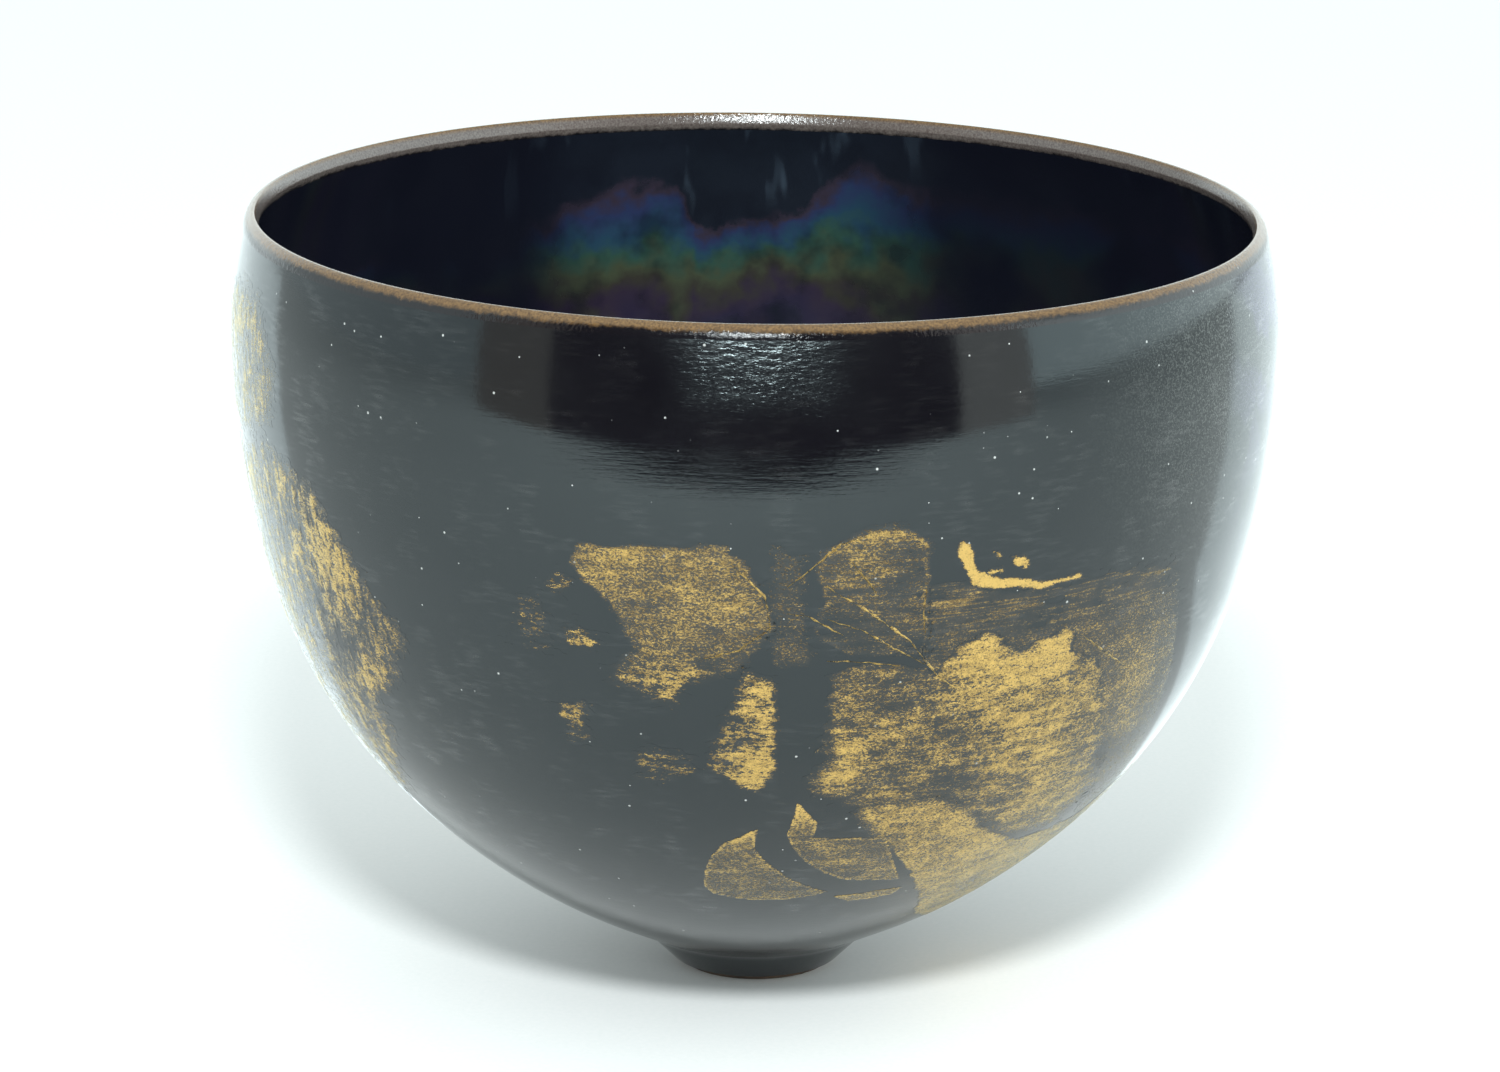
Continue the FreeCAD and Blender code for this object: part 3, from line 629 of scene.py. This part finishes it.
def build_creases():
    """All the folds, as one piece of closed three-sided threads."""
    points = []
    faces = []
    for azimuth, width, bends in CREASES:
        rings = crease(azimuth, width, bends)
        first = len(points)
        points += rings.reshape(-1, 3).tolist()
        for ring in range(len(rings) - 1):
            here = first + 3 * ring
            faces += [[here + a, here + b, here + b + 3, here + a + 3] for a, b in ((0, 1), (1, 2), (2, 0))]
        last = first + 3 * (len(rings) - 1)
        faces += [[first + 2, first + 1, first], [last, last + 1, last + 2]]
    piece = write_mesh("gold_creases", by_hand(np.array(points)), faces, 60)
    return write_wear(piece, {label: np.full(len(points), value) for label, value in CREASE_WEAR.items()})


# ---------------------------------------------------------------- materials

# Colours, as linear red, green and blue.
GLAZE_DARK = (0.0022, 0.0018, 0.0031)
GLAZE_LIGHT = (0.0044, 0.0040, 0.0054)
DUST = (0.5, 0.5, 0.48)
# Sheen painted on the outside glaze's right shoulder: a pale speckle and a violet tint.
PAINTED_SHEEN_SPECKLE = (0.17, 0.18, 0.165)
PAINTED_VIOLET_SHEEN = (0.13, 0.10, 0.26)
# Gold in painted shade, and bright gold. Mixed by noise, they paint the shade and highlights of the crumpled
# leaf.
PAINTED_GOLD_SHADE = (0.15, 0.10, 0.045)
GOLD_BRIGHT = (0.65, 0.43, 0.13)
GOLD_FILM = (0.055, 0.037, 0.022)
NAVY = (0.0075, 0.009, 0.017)
# The pale drips of the inside's oil-film sheen, painted.
PAINTED_SHEEN_DRIPS = (0.045, 0.062, 0.085)
RUST_DARK = (0.06, 0.030, 0.011)
RUST_LIGHT = (0.19, 0.105, 0.038)
LILAC_DARK = (0.07, 0.05, 0.045)
LILAC_LIGHT = (0.15, 0.125, 0.11)
CLAY_DARK = (0.05, 0.03, 0.02)
CLAY_LIGHT = (0.13, 0.075, 0.042)
CLAY_GRIT = (0.02, 0.015, 0.012)
FLOOR_DARK = (0.875, 0.86, 0.84)
FLOOR_LIGHT = (0.915, 0.89, 0.87)

GLAZE_IOR = 1.6
GLAZE_TINT = (0.84, 0.98, 1.0, 1)
RUBBED_ROUGHNESS = 0.33

# Places on the pot in mm, each from where a look starts to where it is full.
SHOULDER_ACROSS = (30, 56)
SHOULDER_UP = (40, 76)
VIOLET_ACROSS = (48, 55)
BRUSHED_UP = (72.5, 78)
BRUSHED_DEPTH = (-50, -52)
BRUSHED_MIDDLE = 0.5
BRUSHED_SIDEWAYS = (13, 5)
SHEEN_LEFT = (-28, -17)
SHEEN_RIGHT = (26, 8)
SHEEN_DEPTH = (10, 30)
LIP_INNER = (LIP_MIDDLE[0] + 0.15, LIP_MIDDLE[0] - 0.25)
BROWN_FRAY = (-0.34, 0.2)
# The brown's end outside and inside, in mm up the pot.
BROWN_ENDS = (HEIGHT - 0.58, HEIGHT - 1.7)
LILAC_HEIGHT = (HEIGHT - 0.15, HEIGHT - 0.5)


class Nodes:
    """Adds nodes to a node tree, one at a time."""

    def __init__(self, tree):
        self.tree = tree

    def add(self, kind, inputs=(), **settings):
        """A new node with its settings, and its inputs by name or number."""
        node = self.tree.nodes.new(kind)
        for name, value in settings.items():
            setattr(node, name, value)
        for name, value in dict(inputs).items():
            self.feed(node.inputs[name], value)
        return node

    def feed(self, socket, value):
        """Link a socket, or set its value."""
        if isinstance(value, bpy.types.NodeSocket):
            self.tree.links.new(value, socket)
        else:
            socket.default_value = value

    def stretch(self, vector, factors):
        """A vector with each of its parts multiplied."""
        return self.add("ShaderNodeVectorMath", {0: vector, 1: factors}, operation="MULTIPLY").outputs[0]

    def math(self, operation, *values):
        return self.add("ShaderNodeMath", dict(enumerate(values)), operation=operation).outputs[0]

    def times(self, first, second):
        return self.math("MULTIPLY", first, second)

    def plus(self, first, second):
        return self.math("ADD", first, second)

    def minus(self, first, second):
        return self.math("SUBTRACT", first, second)

    def ramp(self, value, low, high, to_low=0.0, to_high=1.0, smooth=False):
        """A number taken from one range to another."""
        kind = "SMOOTHSTEP" if smooth else "LINEAR"
        inputs = {"Value": value, "From Min": low, "From Max": high, "To Min": to_low, "To Max": to_high}
        return self.add("ShaderNodeMapRange", inputs, interpolation_type=kind).outputs["Result"]

    def mix(self, share, first, second):
        """A mix of two colours, each a socket or plain red, green and blue."""
        first, second = [(*colour, 1) if isinstance(colour, tuple) else colour for colour in (first, second)]
        return self.add("ShaderNodeMix", {0: share, 6: first, 7: second}, data_type="RGBA").outputs[2]

    def blend(self, share, first, second):
        """A mix of two numbers."""
        return self.add("ShaderNodeMix", {0: share, 2: first, 3: second}, data_type="FLOAT").outputs[0]

    def apart(self, vector):
        """The three parts of a vector."""
        return self.add("ShaderNodeSeparateXYZ", {0: vector}).outputs


class Look(Nodes):
    """A material on one Principled shader, painted by place on the pot, in mm."""

    def __init__(self, name):
        self.material = bpy.data.materials.new(name)
        self.material.use_nodes = True
        super().__init__(self.material.node_tree)
        self.shader = next(node for node in self.tree.nodes if node.type == "BSDF_PRINCIPLED")
        self.place = self.stretch(self.add("ShaderNodeTexCoord").outputs["Object"], (1 / MM,) * 3)

    def noise(self, size, detail=2.0, stretch=None, rough=0.55):
        """Noise with features of `size` mm, spread over 0 to 1."""
        place = self.place if stretch is None else self.stretch(self.place, stretch)
        inputs = {"Vector": place, "Scale": 1 / size, "Detail": detail, "Roughness": rough}
        raw = self.add("ShaderNodeTexNoise", inputs).outputs["Fac"]
        return self.ramp(raw, 0.28, 0.72)

    def wear(self, name):
        """A number that is kept on the points of the gold."""
        return self.add("ShaderNodeAttribute", attribute_name=name).outputs["Fac"]

    def bump(self, height_mm):
        """A normal from a height in mm."""
        inputs = {"Height": self.times(height_mm, MM), "Distance": 1.0, "Strength": 1.0}
        return self.add("ShaderNodeBump", inputs).outputs["Normal"]

    def specks(self, spacing, size, share):
        """Round specks of up to `size` mm on a `share` of cells `spacing` mm apart."""
        inputs = {"Vector": self.place, "Scale": 1 / spacing}
        cells = self.add("ShaderNodeTexVoronoi", inputs)
        draws = self.add("ShaderNodeSeparateColor", {"Color": cells.outputs["Color"]}).outputs
        grown = self.ramp(draws["Green"], 0, 1, 0.45 * size / spacing, size / spacing)
        near = self.ramp(self.math("DIVIDE", cells.outputs["Distance"], grown), 1, 0.5)
        return self.times(near, self.math("LESS_THAN", draws["Red"], share))

    def finish(self, colour, roughness, normal=None, metallic=0.0, **named):
        """Feed the shader, and give back the material."""
        inputs = {"Base Color": colour, "Roughness": roughness, "Metallic": metallic, **named}
        if normal is not None:
            inputs["Normal"] = normal
        for name, value in inputs.items():
            self.feed(self.shader.inputs[name], value)
        return self.material


def rubbed(look):
    """Where fine rubbing has dulled the gloss, in short sideways strokes."""
    strokes = look.noise(0.5, detail=3, stretch=(0.2, 0.2, 1.2))
    return look.ramp(look.times(strokes, look.noise(5, detail=2)), 0.3, 0.75, 0.0, 0.4)


def glaze_surface(look, dusty=0.2):
    """Colour, roughness and relief (mm) of the black glaze: satin peel, brushed marks and a share of dust."""
    cloud = look.noise(9)
    peel = look.noise(0.45, detail=3)
    marks = look.noise(0.7, detail=3, stretch=(0.22, 0.22, 2.4))
    dust = look.specks(1.3, 0.18, dusty)
    colour = look.mix(cloud, GLAZE_DARK, GLAZE_LIGHT)
    colour = look.mix(look.times(dust, 0.8), colour, DUST)
    fine = look.plus(look.times(peel, 0.03), look.times(marks, 0.04))
    roughness = look.plus(look.ramp(cloud, 0, 1, 0.05, 0.09), fine)
    relief = look.plus(look.times(peel, 0.0016), look.times(marks, 0.0022))
    return colour, roughness, relief


def black_glaze():
    """Black outside glaze, with a pale speckled sheen and a violet sheen where it ran thin, both painted in
    its colour on the right shoulder.
    """
    look = Look("black_glaze")
    colour, roughness, relief = glaze_surface(look)
    across, depth, height = look.apart(look.place)
    shoulder = look.ramp(height, *SHOULDER_UP, smooth=True)
    shoulder = look.times(look.ramp(across, *SHOULDER_ACROSS, smooth=True), shoulder)
    grain = look.noise(0.22, detail=2, rough=0.7)
    # A pale speckle, painted as a sheen on the right shoulder.
    sheen_speckle = look.times(look.ramp(grain, 0.45, 0.8), shoulder)
    colour = look.mix(look.times(sheen_speckle, 0.6), colour, PAINTED_SHEEN_SPECKLE)
    # A violet tint near the right edge, painted as a sheen.
    violet = look.times(look.ramp(look.noise(7), 0.3, 0.6, smooth=True), look.ramp(across, *VIOLET_ACROSS))
    violet = look.times(violet, look.times(shoulder, look.ramp(grain, 0.2, 0.7)))
    colour = look.mix(look.times(violet, 0.6), colour, PAINTED_VIOLET_SHEEN)
    roughness = look.plus(roughness, look.times(sheen_speckle, 0.2))
    patch = look.times(look.ramp(height, *BRUSHED_UP, smooth=True), look.ramp(depth, *BRUSHED_DEPTH))
    sideways = look.math("ABSOLUTE", look.minus(across, BRUSHED_MIDDLE))
    patch = look.times(patch, look.ramp(sideways, *BRUSHED_SIDEWAYS, smooth=True))
    strokes = look.noise(0.6, detail=3, stretch=(0.4, 0.4, 1.1), rough=0.6)
    relief = look.plus(relief, look.times(strokes, look.times(patch, 0.06)))
    roughness = look.plus(roughness, look.times(patch, 0.17))
    return look.finish(colour, roughness, look.bump(relief), **{
        "IOR": GLAZE_IOR, "Specular Tint": GLAZE_TINT,
        "Coat Weight": rubbed(look), "Coat Roughness": RUBBED_ROUGHNESS})


def gold_leaf():
    """Gold where the leaf holds, with painted shade and highlights in its crumples, black glaze where it is
    rubbed through, and a thin brown film between.
    """
    look = Look("gold_leaf")
    under_colour, under_roughness, under_relief = glaze_surface(look)
    cover, streak, flake = [look.wear(name) for name in ("cover", "streak", "flake")]
    grain = look.noise(0.2, detail=2, stretch=(0.65, 0.65, 1.2), rough=0.75)
    blotch = look.noise(0.4, detail=4, stretch=(0.6, 0.6, 1.3), rough=0.75)
    brush = look.noise(0.5, detail=3, stretch=(0.09, 0.09, 1.7))
    wear = look.blend(look.ramp(flake, 0, 1, 0.15, 0.75), grain, blotch)
    wear = look.blend(look.times(streak, 0.55), wear, brush)
    held = look.minus(cover, look.ramp(wear, 0.14, 0.86))
    soft = look.ramp(flake, 0, 0.8, 0.18, 0.07)
    gold = look.ramp(look.math("DIVIDE", held, soft), -1, 1, smooth=True)
    wrinkle = look.noise(0.45, detail=4, rough=0.65)
    mottle = look.noise(0.8, detail=4, stretch=(0.8, 0.8, 1.3), rough=0.7)
    # Painted shade and highlights of the crumpled leaf, lighter where more gold is left.
    tone = look.blend(0.45, look.noise(0.16, detail=2, rough=0.7), mottle)
    tone = look.plus(tone, look.ramp(cover, 0.3, 0.8, -0.3, 0.25))
    painted_gold_shading = look.mix(look.ramp(tone, 0.2, 0.75), PAINTED_GOLD_SHADE, GOLD_BRIGHT)
    film = look.times(look.ramp(cover, 0.15, 0.45), look.ramp(mottle, 0, 1, 0.2, 0.9))
    film = look.times(film, look.ramp(flake, 0, 1, 0.85, 0.2))
    film_colour = look.mix(film, under_colour, GOLD_FILM)
    colour = look.mix(gold, film_colour, painted_gold_shading)
    roughness = look.blend(gold, under_roughness, look.ramp(wrinkle, 0, 1, 0.28, 0.48))
    relief = look.blend(gold, under_relief, look.ramp(wrinkle, 0, 1, 0.004, 0.026))
    return look.finish(colour, roughness, look.bump(relief), metallic=gold, **{
        "IOR": GLAZE_IOR, "Specular Tint": GLAZE_TINT,
        "Coat Weight": look.blend(gold, rubbed(look), 0.35), "Coat Roughness": RUBBED_ROUGHNESS})


# Tints down the oil-film sheen, painted in the glaze's colour, as (mm below the edge of its film, colour).
PAINTED_SHEEN_TINTS = (
    (-9, (0.007, 0.009, 0.015)), (-0.5, (0.008, 0.010, 0.017)), (0.2, (0.028, 0.020, 0.032)),
    (0.9, (0.018, 0.026, 0.072)), (2.1, (0.014, 0.042, 0.072)), (3.1, (0.022, 0.056, 0.042)),
    (4.6, (0.042, 0.050, 0.028)), (6, (0.030, 0.026, 0.020)), (7.5, (0.024, 0.015, 0.030)),
    (9.5, (0.018, 0.012, 0.032)), (13, (0.007, 0.008, 0.016)))
# The film's olive band runs level at this height, however far above it the film starts.
FILM_OLIVE = 4.3
FILM_OLIVE_HEIGHT = 66.3
# The height of the film's upper edge across the far wall, as (mm across, mm up), and how far it wobbles.
FILM_EDGE = (
    (-30, 71), (-23, 72.5), (-17, 75), (-12, 75.6), (-9, 75), (-7, 70.2),
    (1, 71.2), (5, 72), (9, 75.5), (12, 77.5), (18, 75))
FILM_WOBBLE = 1.3


def ramp_through(look, value, low, high, stops):
    """Colours met in turn as `value` goes from low to high."""
    node = look.add("ShaderNodeValToRGB", {"Fac": look.ramp(value, low, high)})
    elements = node.color_ramp.elements
    while len(elements) < len(stops):
        elements.new(0.5)
    for element, (at, rgb) in zip(elements, stops):
        element.position = (at - low) / (high - low)
        element.color = (*rgb, 1)
    return node.outputs["Color"]


def painted_sheen_bands(look, across, height):
    """Painted tints of the oil film's sheen, with pale painted drips of sheen hanging above its edge."""
    span = FILM_EDGE[0][0], FILM_EDGE[-1][0]
    edge = ramp_through(look, across, *span, [(at, (up / HEIGHT,) * 3) for at, up in FILM_EDGE])
    edge = look.times(edge, HEIGHT)
    wobble = look.ramp(look.noise(3.2, detail=4), 0, 1, -FILM_WOBBLE, FILM_WOBBLE)
    below = look.minus(look.plus(edge, wobble), height)
    below = look.times(below, look.ramp(look.noise(7, detail=2), 0.2, 0.8, 0.75, 1.25))
    drop = look.minus(edge, FILM_OLIVE_HEIGHT)
    below = look.times(below, look.math("DIVIDE", FILM_OLIVE, look.math("MAXIMUM", drop, FILM_OLIVE)))
    bands = ramp_through(look, below, PAINTED_SHEEN_TINTS[0][0], PAINTED_SHEEN_TINTS[-1][0], PAINTED_SHEEN_TINTS)
    drips = look.noise(3.4, detail=2, stretch=(1, 1, 0.2))
    drips = look.times(look.ramp(drips, 0.62, 0.85, smooth=True), look.ramp(below, 0, -3, smooth=True))
    return look.mix(look.times(drips, 0.6), bands, PAINTED_SHEEN_DRIPS)


def inner_sheen():
    """Blue-black glaze with an oil-film sheen, painted in its colour on the far wall, that hangs in drips and
    bands below the lip.
    """
    look = Look("inner_glaze")
    colour, roughness, relief = glaze_surface(look, 0.01)
    across, depth, height = look.apart(look.place)
    bands = painted_sheen_bands(look, across, height)
    cloud = look.ramp(look.noise(15, detail=2), 0.3, 0.7, smooth=True)
    # Where the sheen is painted: full on the far wall across its middle, faint elsewhere.
    middle = look.ramp(across, *SHEEN_RIGHT, smooth=True)
    middle = look.times(look.ramp(across, *SHEEN_LEFT, smooth=True), middle)
    far = look.times(middle, look.ramp(depth, *SHEEN_DEPTH, smooth=True))
    far = look.times(far, look.ramp(look.noise(5, detail=3), 0.15, 0.6, 0.45, 1.0))
    strength = look.math("MAXIMUM", far, look.times(cloud, 0.1))
    colour = look.mix(strength, look.mix(0.5, colour, NAVY), bands)
    roughness = look.plus(roughness, look.times(strength, 0.12))
    return look.finish(colour, roughness, look.bump(relief), **{
        "IOR": GLAZE_IOR, "Specular Tint": GLAZE_TINT})


def iron_lip():
    """Iron-brown lip, thin and pale on the crest, breaking into black outside and lilac-grey inside."""
    look = Look("lip_glaze")
    black, black_roughness, relief = glaze_surface(look, 0.05)
    across, depth, height = look.apart(look.place)
    crest = look.plus(height, look.times(across, RIM_FALL))
    out = look.math("SQRT", look.plus(look.times(across, across), look.times(depth, depth)))
    inner = look.ramp(out, *LIP_INNER, smooth=True)
    frayed = look.plus(crest, look.ramp(look.noise(0.8, detail=4), 0, 1, -0.16, 0.16))
    frayed = look.plus(frayed, look.ramp(look.noise(6), 0, 1, -0.12, 0.12))
    brown = look.ramp(look.minus(frayed, look.blend(inner, *BROWN_ENDS)), *BROWN_FRAY, smooth=True)
    speckle = look.noise(0.22, detail=2)
    rust = look.mix(speckle, RUST_DARK, RUST_LIGHT)
    lilac = look.mix(speckle, LILAC_DARK, LILAC_LIGHT)
    rust = look.mix(look.times(inner, look.ramp(crest, *LILAC_HEIGHT)), rust, lilac)
    colour = look.mix(brown, black, rust)
    relief = look.plus(relief, look.times(look.noise(0.35, detail=2), 0.02))
    roughness = look.blend(brown, black_roughness, 0.18)
    return look.finish(colour, roughness, look.bump(relief), IOR=GLAZE_IOR)


def bare_clay():
    """Dark toasted stoneware with fine grit and turning lines."""
    look = Look("clay")
    grit = look.noise(0.3, detail=4)
    toast = look.noise(3.5)
    lines = look.noise(0.35, stretch=(0.05, 0.05, 1.5))
    colour = look.mix(toast, CLAY_DARK, CLAY_LIGHT)
    colour = look.mix(look.times(look.specks(0.9, 0.14, 0.3), 0.6), colour, CLAY_GRIT)
    relief = look.plus(look.times(grit, 0.03), look.times(lines, 0.02))
    return look.finish(colour, look.ramp(grit, 0, 1, 0.6, 0.85), look.bump(relief))


def paper_floor():
    """Pale matt paper."""
    look = Look("floor")
    colour = look.mix(look.noise(0.6, detail=3), FLOOR_DARK, FLOOR_LIGHT)
    return look.finish(colour, 0.9, **{"Specular IOR Level": 0})


# ---------------------------------------------------------------- the object

def dress(piece, material, slot, *nodes):
    """Give a piece its material, and hide the CAD nodes it stands for. The slot is not used."""
    piece.data.materials.append(material)
    if nodes:
        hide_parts(*nodes)


def build_pot():
    """The clay wall, the foot and the three glaze coats."""
    clay = bare_clay()
    dress(lathe("clay_wall_turned", clay_outline()), clay, "clay", "clay_wall")
    dress(lathe("foot_ring_turned", foot_outline()), clay, "clay", "foot_ring")
    dress(lathe("outer_glaze_coat", outer_glaze_outline()), black_glaze(), "black_glaze", "outer_glaze")
    dress(lathe("inner_glaze_coat", inner_glaze_outline()), inner_sheen(), "sheen_glaze", "inner_glaze")
    dress(lathe("lip_glaze_coat", lip_outline()), iron_lip(), "iron_glaze", "lip_glaze")


def build_gold():
    """Every scrap of gold leaf, and the folds in them."""
    gold = gold_leaf()
    for node in LOOKS:
        dress(build_leaf(node), gold, "gold_leaf", node)
    dress(build_creases(), gold, "gold_leaf")


# ---------------------------------------------------------------- the studio

# The camera, in mm and degrees.
CAMERA_DISTANCE = 600
CAMERA_HEIGHT = 211.6
CAMERA_PITCH = 15.258
CAMERA_ASIDE = -0.64
LENS = 138.07
SENSOR = 36

# The lamp hangs over the camera.
LAMP_PLACE = (0, -533, 432)
LAMP_ACROSS = 95
LAMP_WATTS = 3.8
LAMP_TINT = (0.9, 0.98, 1.0)
# The front of the tent is open and dark, with a dim frame each side of it, each as (colour, strength).
OPENING_AT = 260
OPENING_HALF = 223
STRIP_HALF = 414
OPENING_HEIGHT = 420
OPENING_LIGHT = ((1.0, 0.85, 1.0), 0.06)
LEFT_STRIP_LIGHT = ((1.0, 0.9, 0.8), 0.55)
RIGHT_STRIP_LIGHT = ((1.0, 0.95, 0.9), 1.0)
# The tent's light by direction, and the part of each axis over which one turns into the next.
TENT_TINT = (0.87, 0.985, 1.0)
OVERHEAD = 0.95
SIDE_LEFT = 1.0
SIDE_RIGHT = 2.1
BEHIND = 2.0
RIGHT_TURN = (-0.2, 0.3)
BACK_TURN = (0.6, 0.64)
UP_TURN = (0.3, 0.7)
# The floor behind the pot is far brighter than at its sides, from (across, back) to (across, back).
BACK_GLOW = ((131, 36), (1661, 1163))
FLOOR_HALF = 3000


def plane(name, corners, material):
    """A flat piece of the studio from corners in mm."""
    mesh = bpy.data.meshes.new(name)
    mesh.from_pydata([tuple(value * MM for value in corner) for corner in corners], [], [(0, 1, 2, 3)])
    piece = bpy.data.objects.new(name, mesh)
    bpy.context.scene.collection.objects.link(piece)
    mesh.materials.append(material)
    return piece


def card(name, corners, rgb, strength):
    """A glowing card that is seen only in reflections."""
    look = Look(name)
    look.finish((0, 0, 0, 1), 1.0, **{"Emission Color": (*rgb, 1), "Emission Strength": strength})
    piece = plane(name, corners, look.material)
    piece.visible_camera = False
    piece.visible_diffuse = False
    piece.visible_shadow = False


def front_card(name, left, right, light):
    """An upright card across the front of the tent."""
    y = -OPENING_AT
    corners = [(left, y, 0), (right, y, 0), (right, y, OPENING_HEIGHT), (left, y, OPENING_HEIGHT)]
    card(name, corners, *light)


def tent_light():
    """Soft light from all round: brightest low down behind the pot and on the right."""
    world = bpy.data.worlds.new("tent")
    bpy.context.scene.world = world
    world.use_nodes = True
    nodes = Nodes(world.node_tree)
    background = next(node for node in world.node_tree.nodes if node.type == "BACKGROUND")
    right, back, up = nodes.apart(nodes.add("ShaderNodeTexCoord").outputs["Generated"])
    side = nodes.blend(nodes.ramp(right, *RIGHT_TURN, smooth=True), SIDE_LEFT, SIDE_RIGHT)
    low = nodes.blend(nodes.ramp(back, *BACK_TURN, smooth=True), side, BEHIND)
    strength = nodes.blend(nodes.ramp(up, *UP_TURN, smooth=True), low, OVERHEAD)
    nodes.feed(background.inputs["Strength"], strength)
    background.inputs["Color"].default_value = (*TENT_TINT, 1)


def build_studio():
    """A white tent with a pale floor, a lamp over the camera and a dark opening in front."""
    tent_light()
    half = FLOOR_HALF
    plane("floor", [(-half, -half, 0), (half, -half, 0), (half, half, 0), (-half, half, 0)], paper_floor())
    front_card("opening", -OPENING_HALF, OPENING_HALF, OPENING_LIGHT)
    front_card("strip_left", -STRIP_HALF, -OPENING_HALF, LEFT_STRIP_LIGHT)
    front_card("strip_right", OPENING_HALF, STRIP_HALF, RIGHT_STRIP_LIGHT)
    near, far = BACK_GLOW
    glow = [(-near[0], near[1], 1), (near[0], near[1], 1), (far[0], far[1], 1), (-far[0], far[1], 1)]
    card("back_glow", glow, TENT_TINT, BEHIND)
    light = bpy.data.lights.new("lamp", "AREA")
    light.shape = "DISK"
    light.size = LAMP_ACROSS * MM
    light.energy = LAMP_WATTS
    light.color = LAMP_TINT
    lamp = bpy.data.objects.new("lamp", light)
    lamp.location = Vector(LAMP_PLACE) * MM
    lamp.rotation_euler = lamp.location.to_track_quat("Z", "Y").to_euler()
    bpy.context.scene.collection.objects.link(lamp)


def build_camera():
    """The camera in front of the pot."""
    lens = bpy.data.cameras.new("camera")
    lens.lens = LENS
    lens.sensor_width = SENSOR
    camera = bpy.data.objects.new("camera", lens)
    camera.location = (CAMERA_ASIDE * MM, -CAMERA_DISTANCE * MM, CAMERA_HEIGHT * MM)
    camera.rotation_euler = (math.radians(90 - CAMERA_PITCH), 0, 0)
    bpy.context.scene.collection.objects.link(camera)
    bpy.context.scene.camera = camera
    bpy.context.scene.view_settings.view_transform = "Standard"


build_camera()
build_studio()
build_pot()
build_gold()
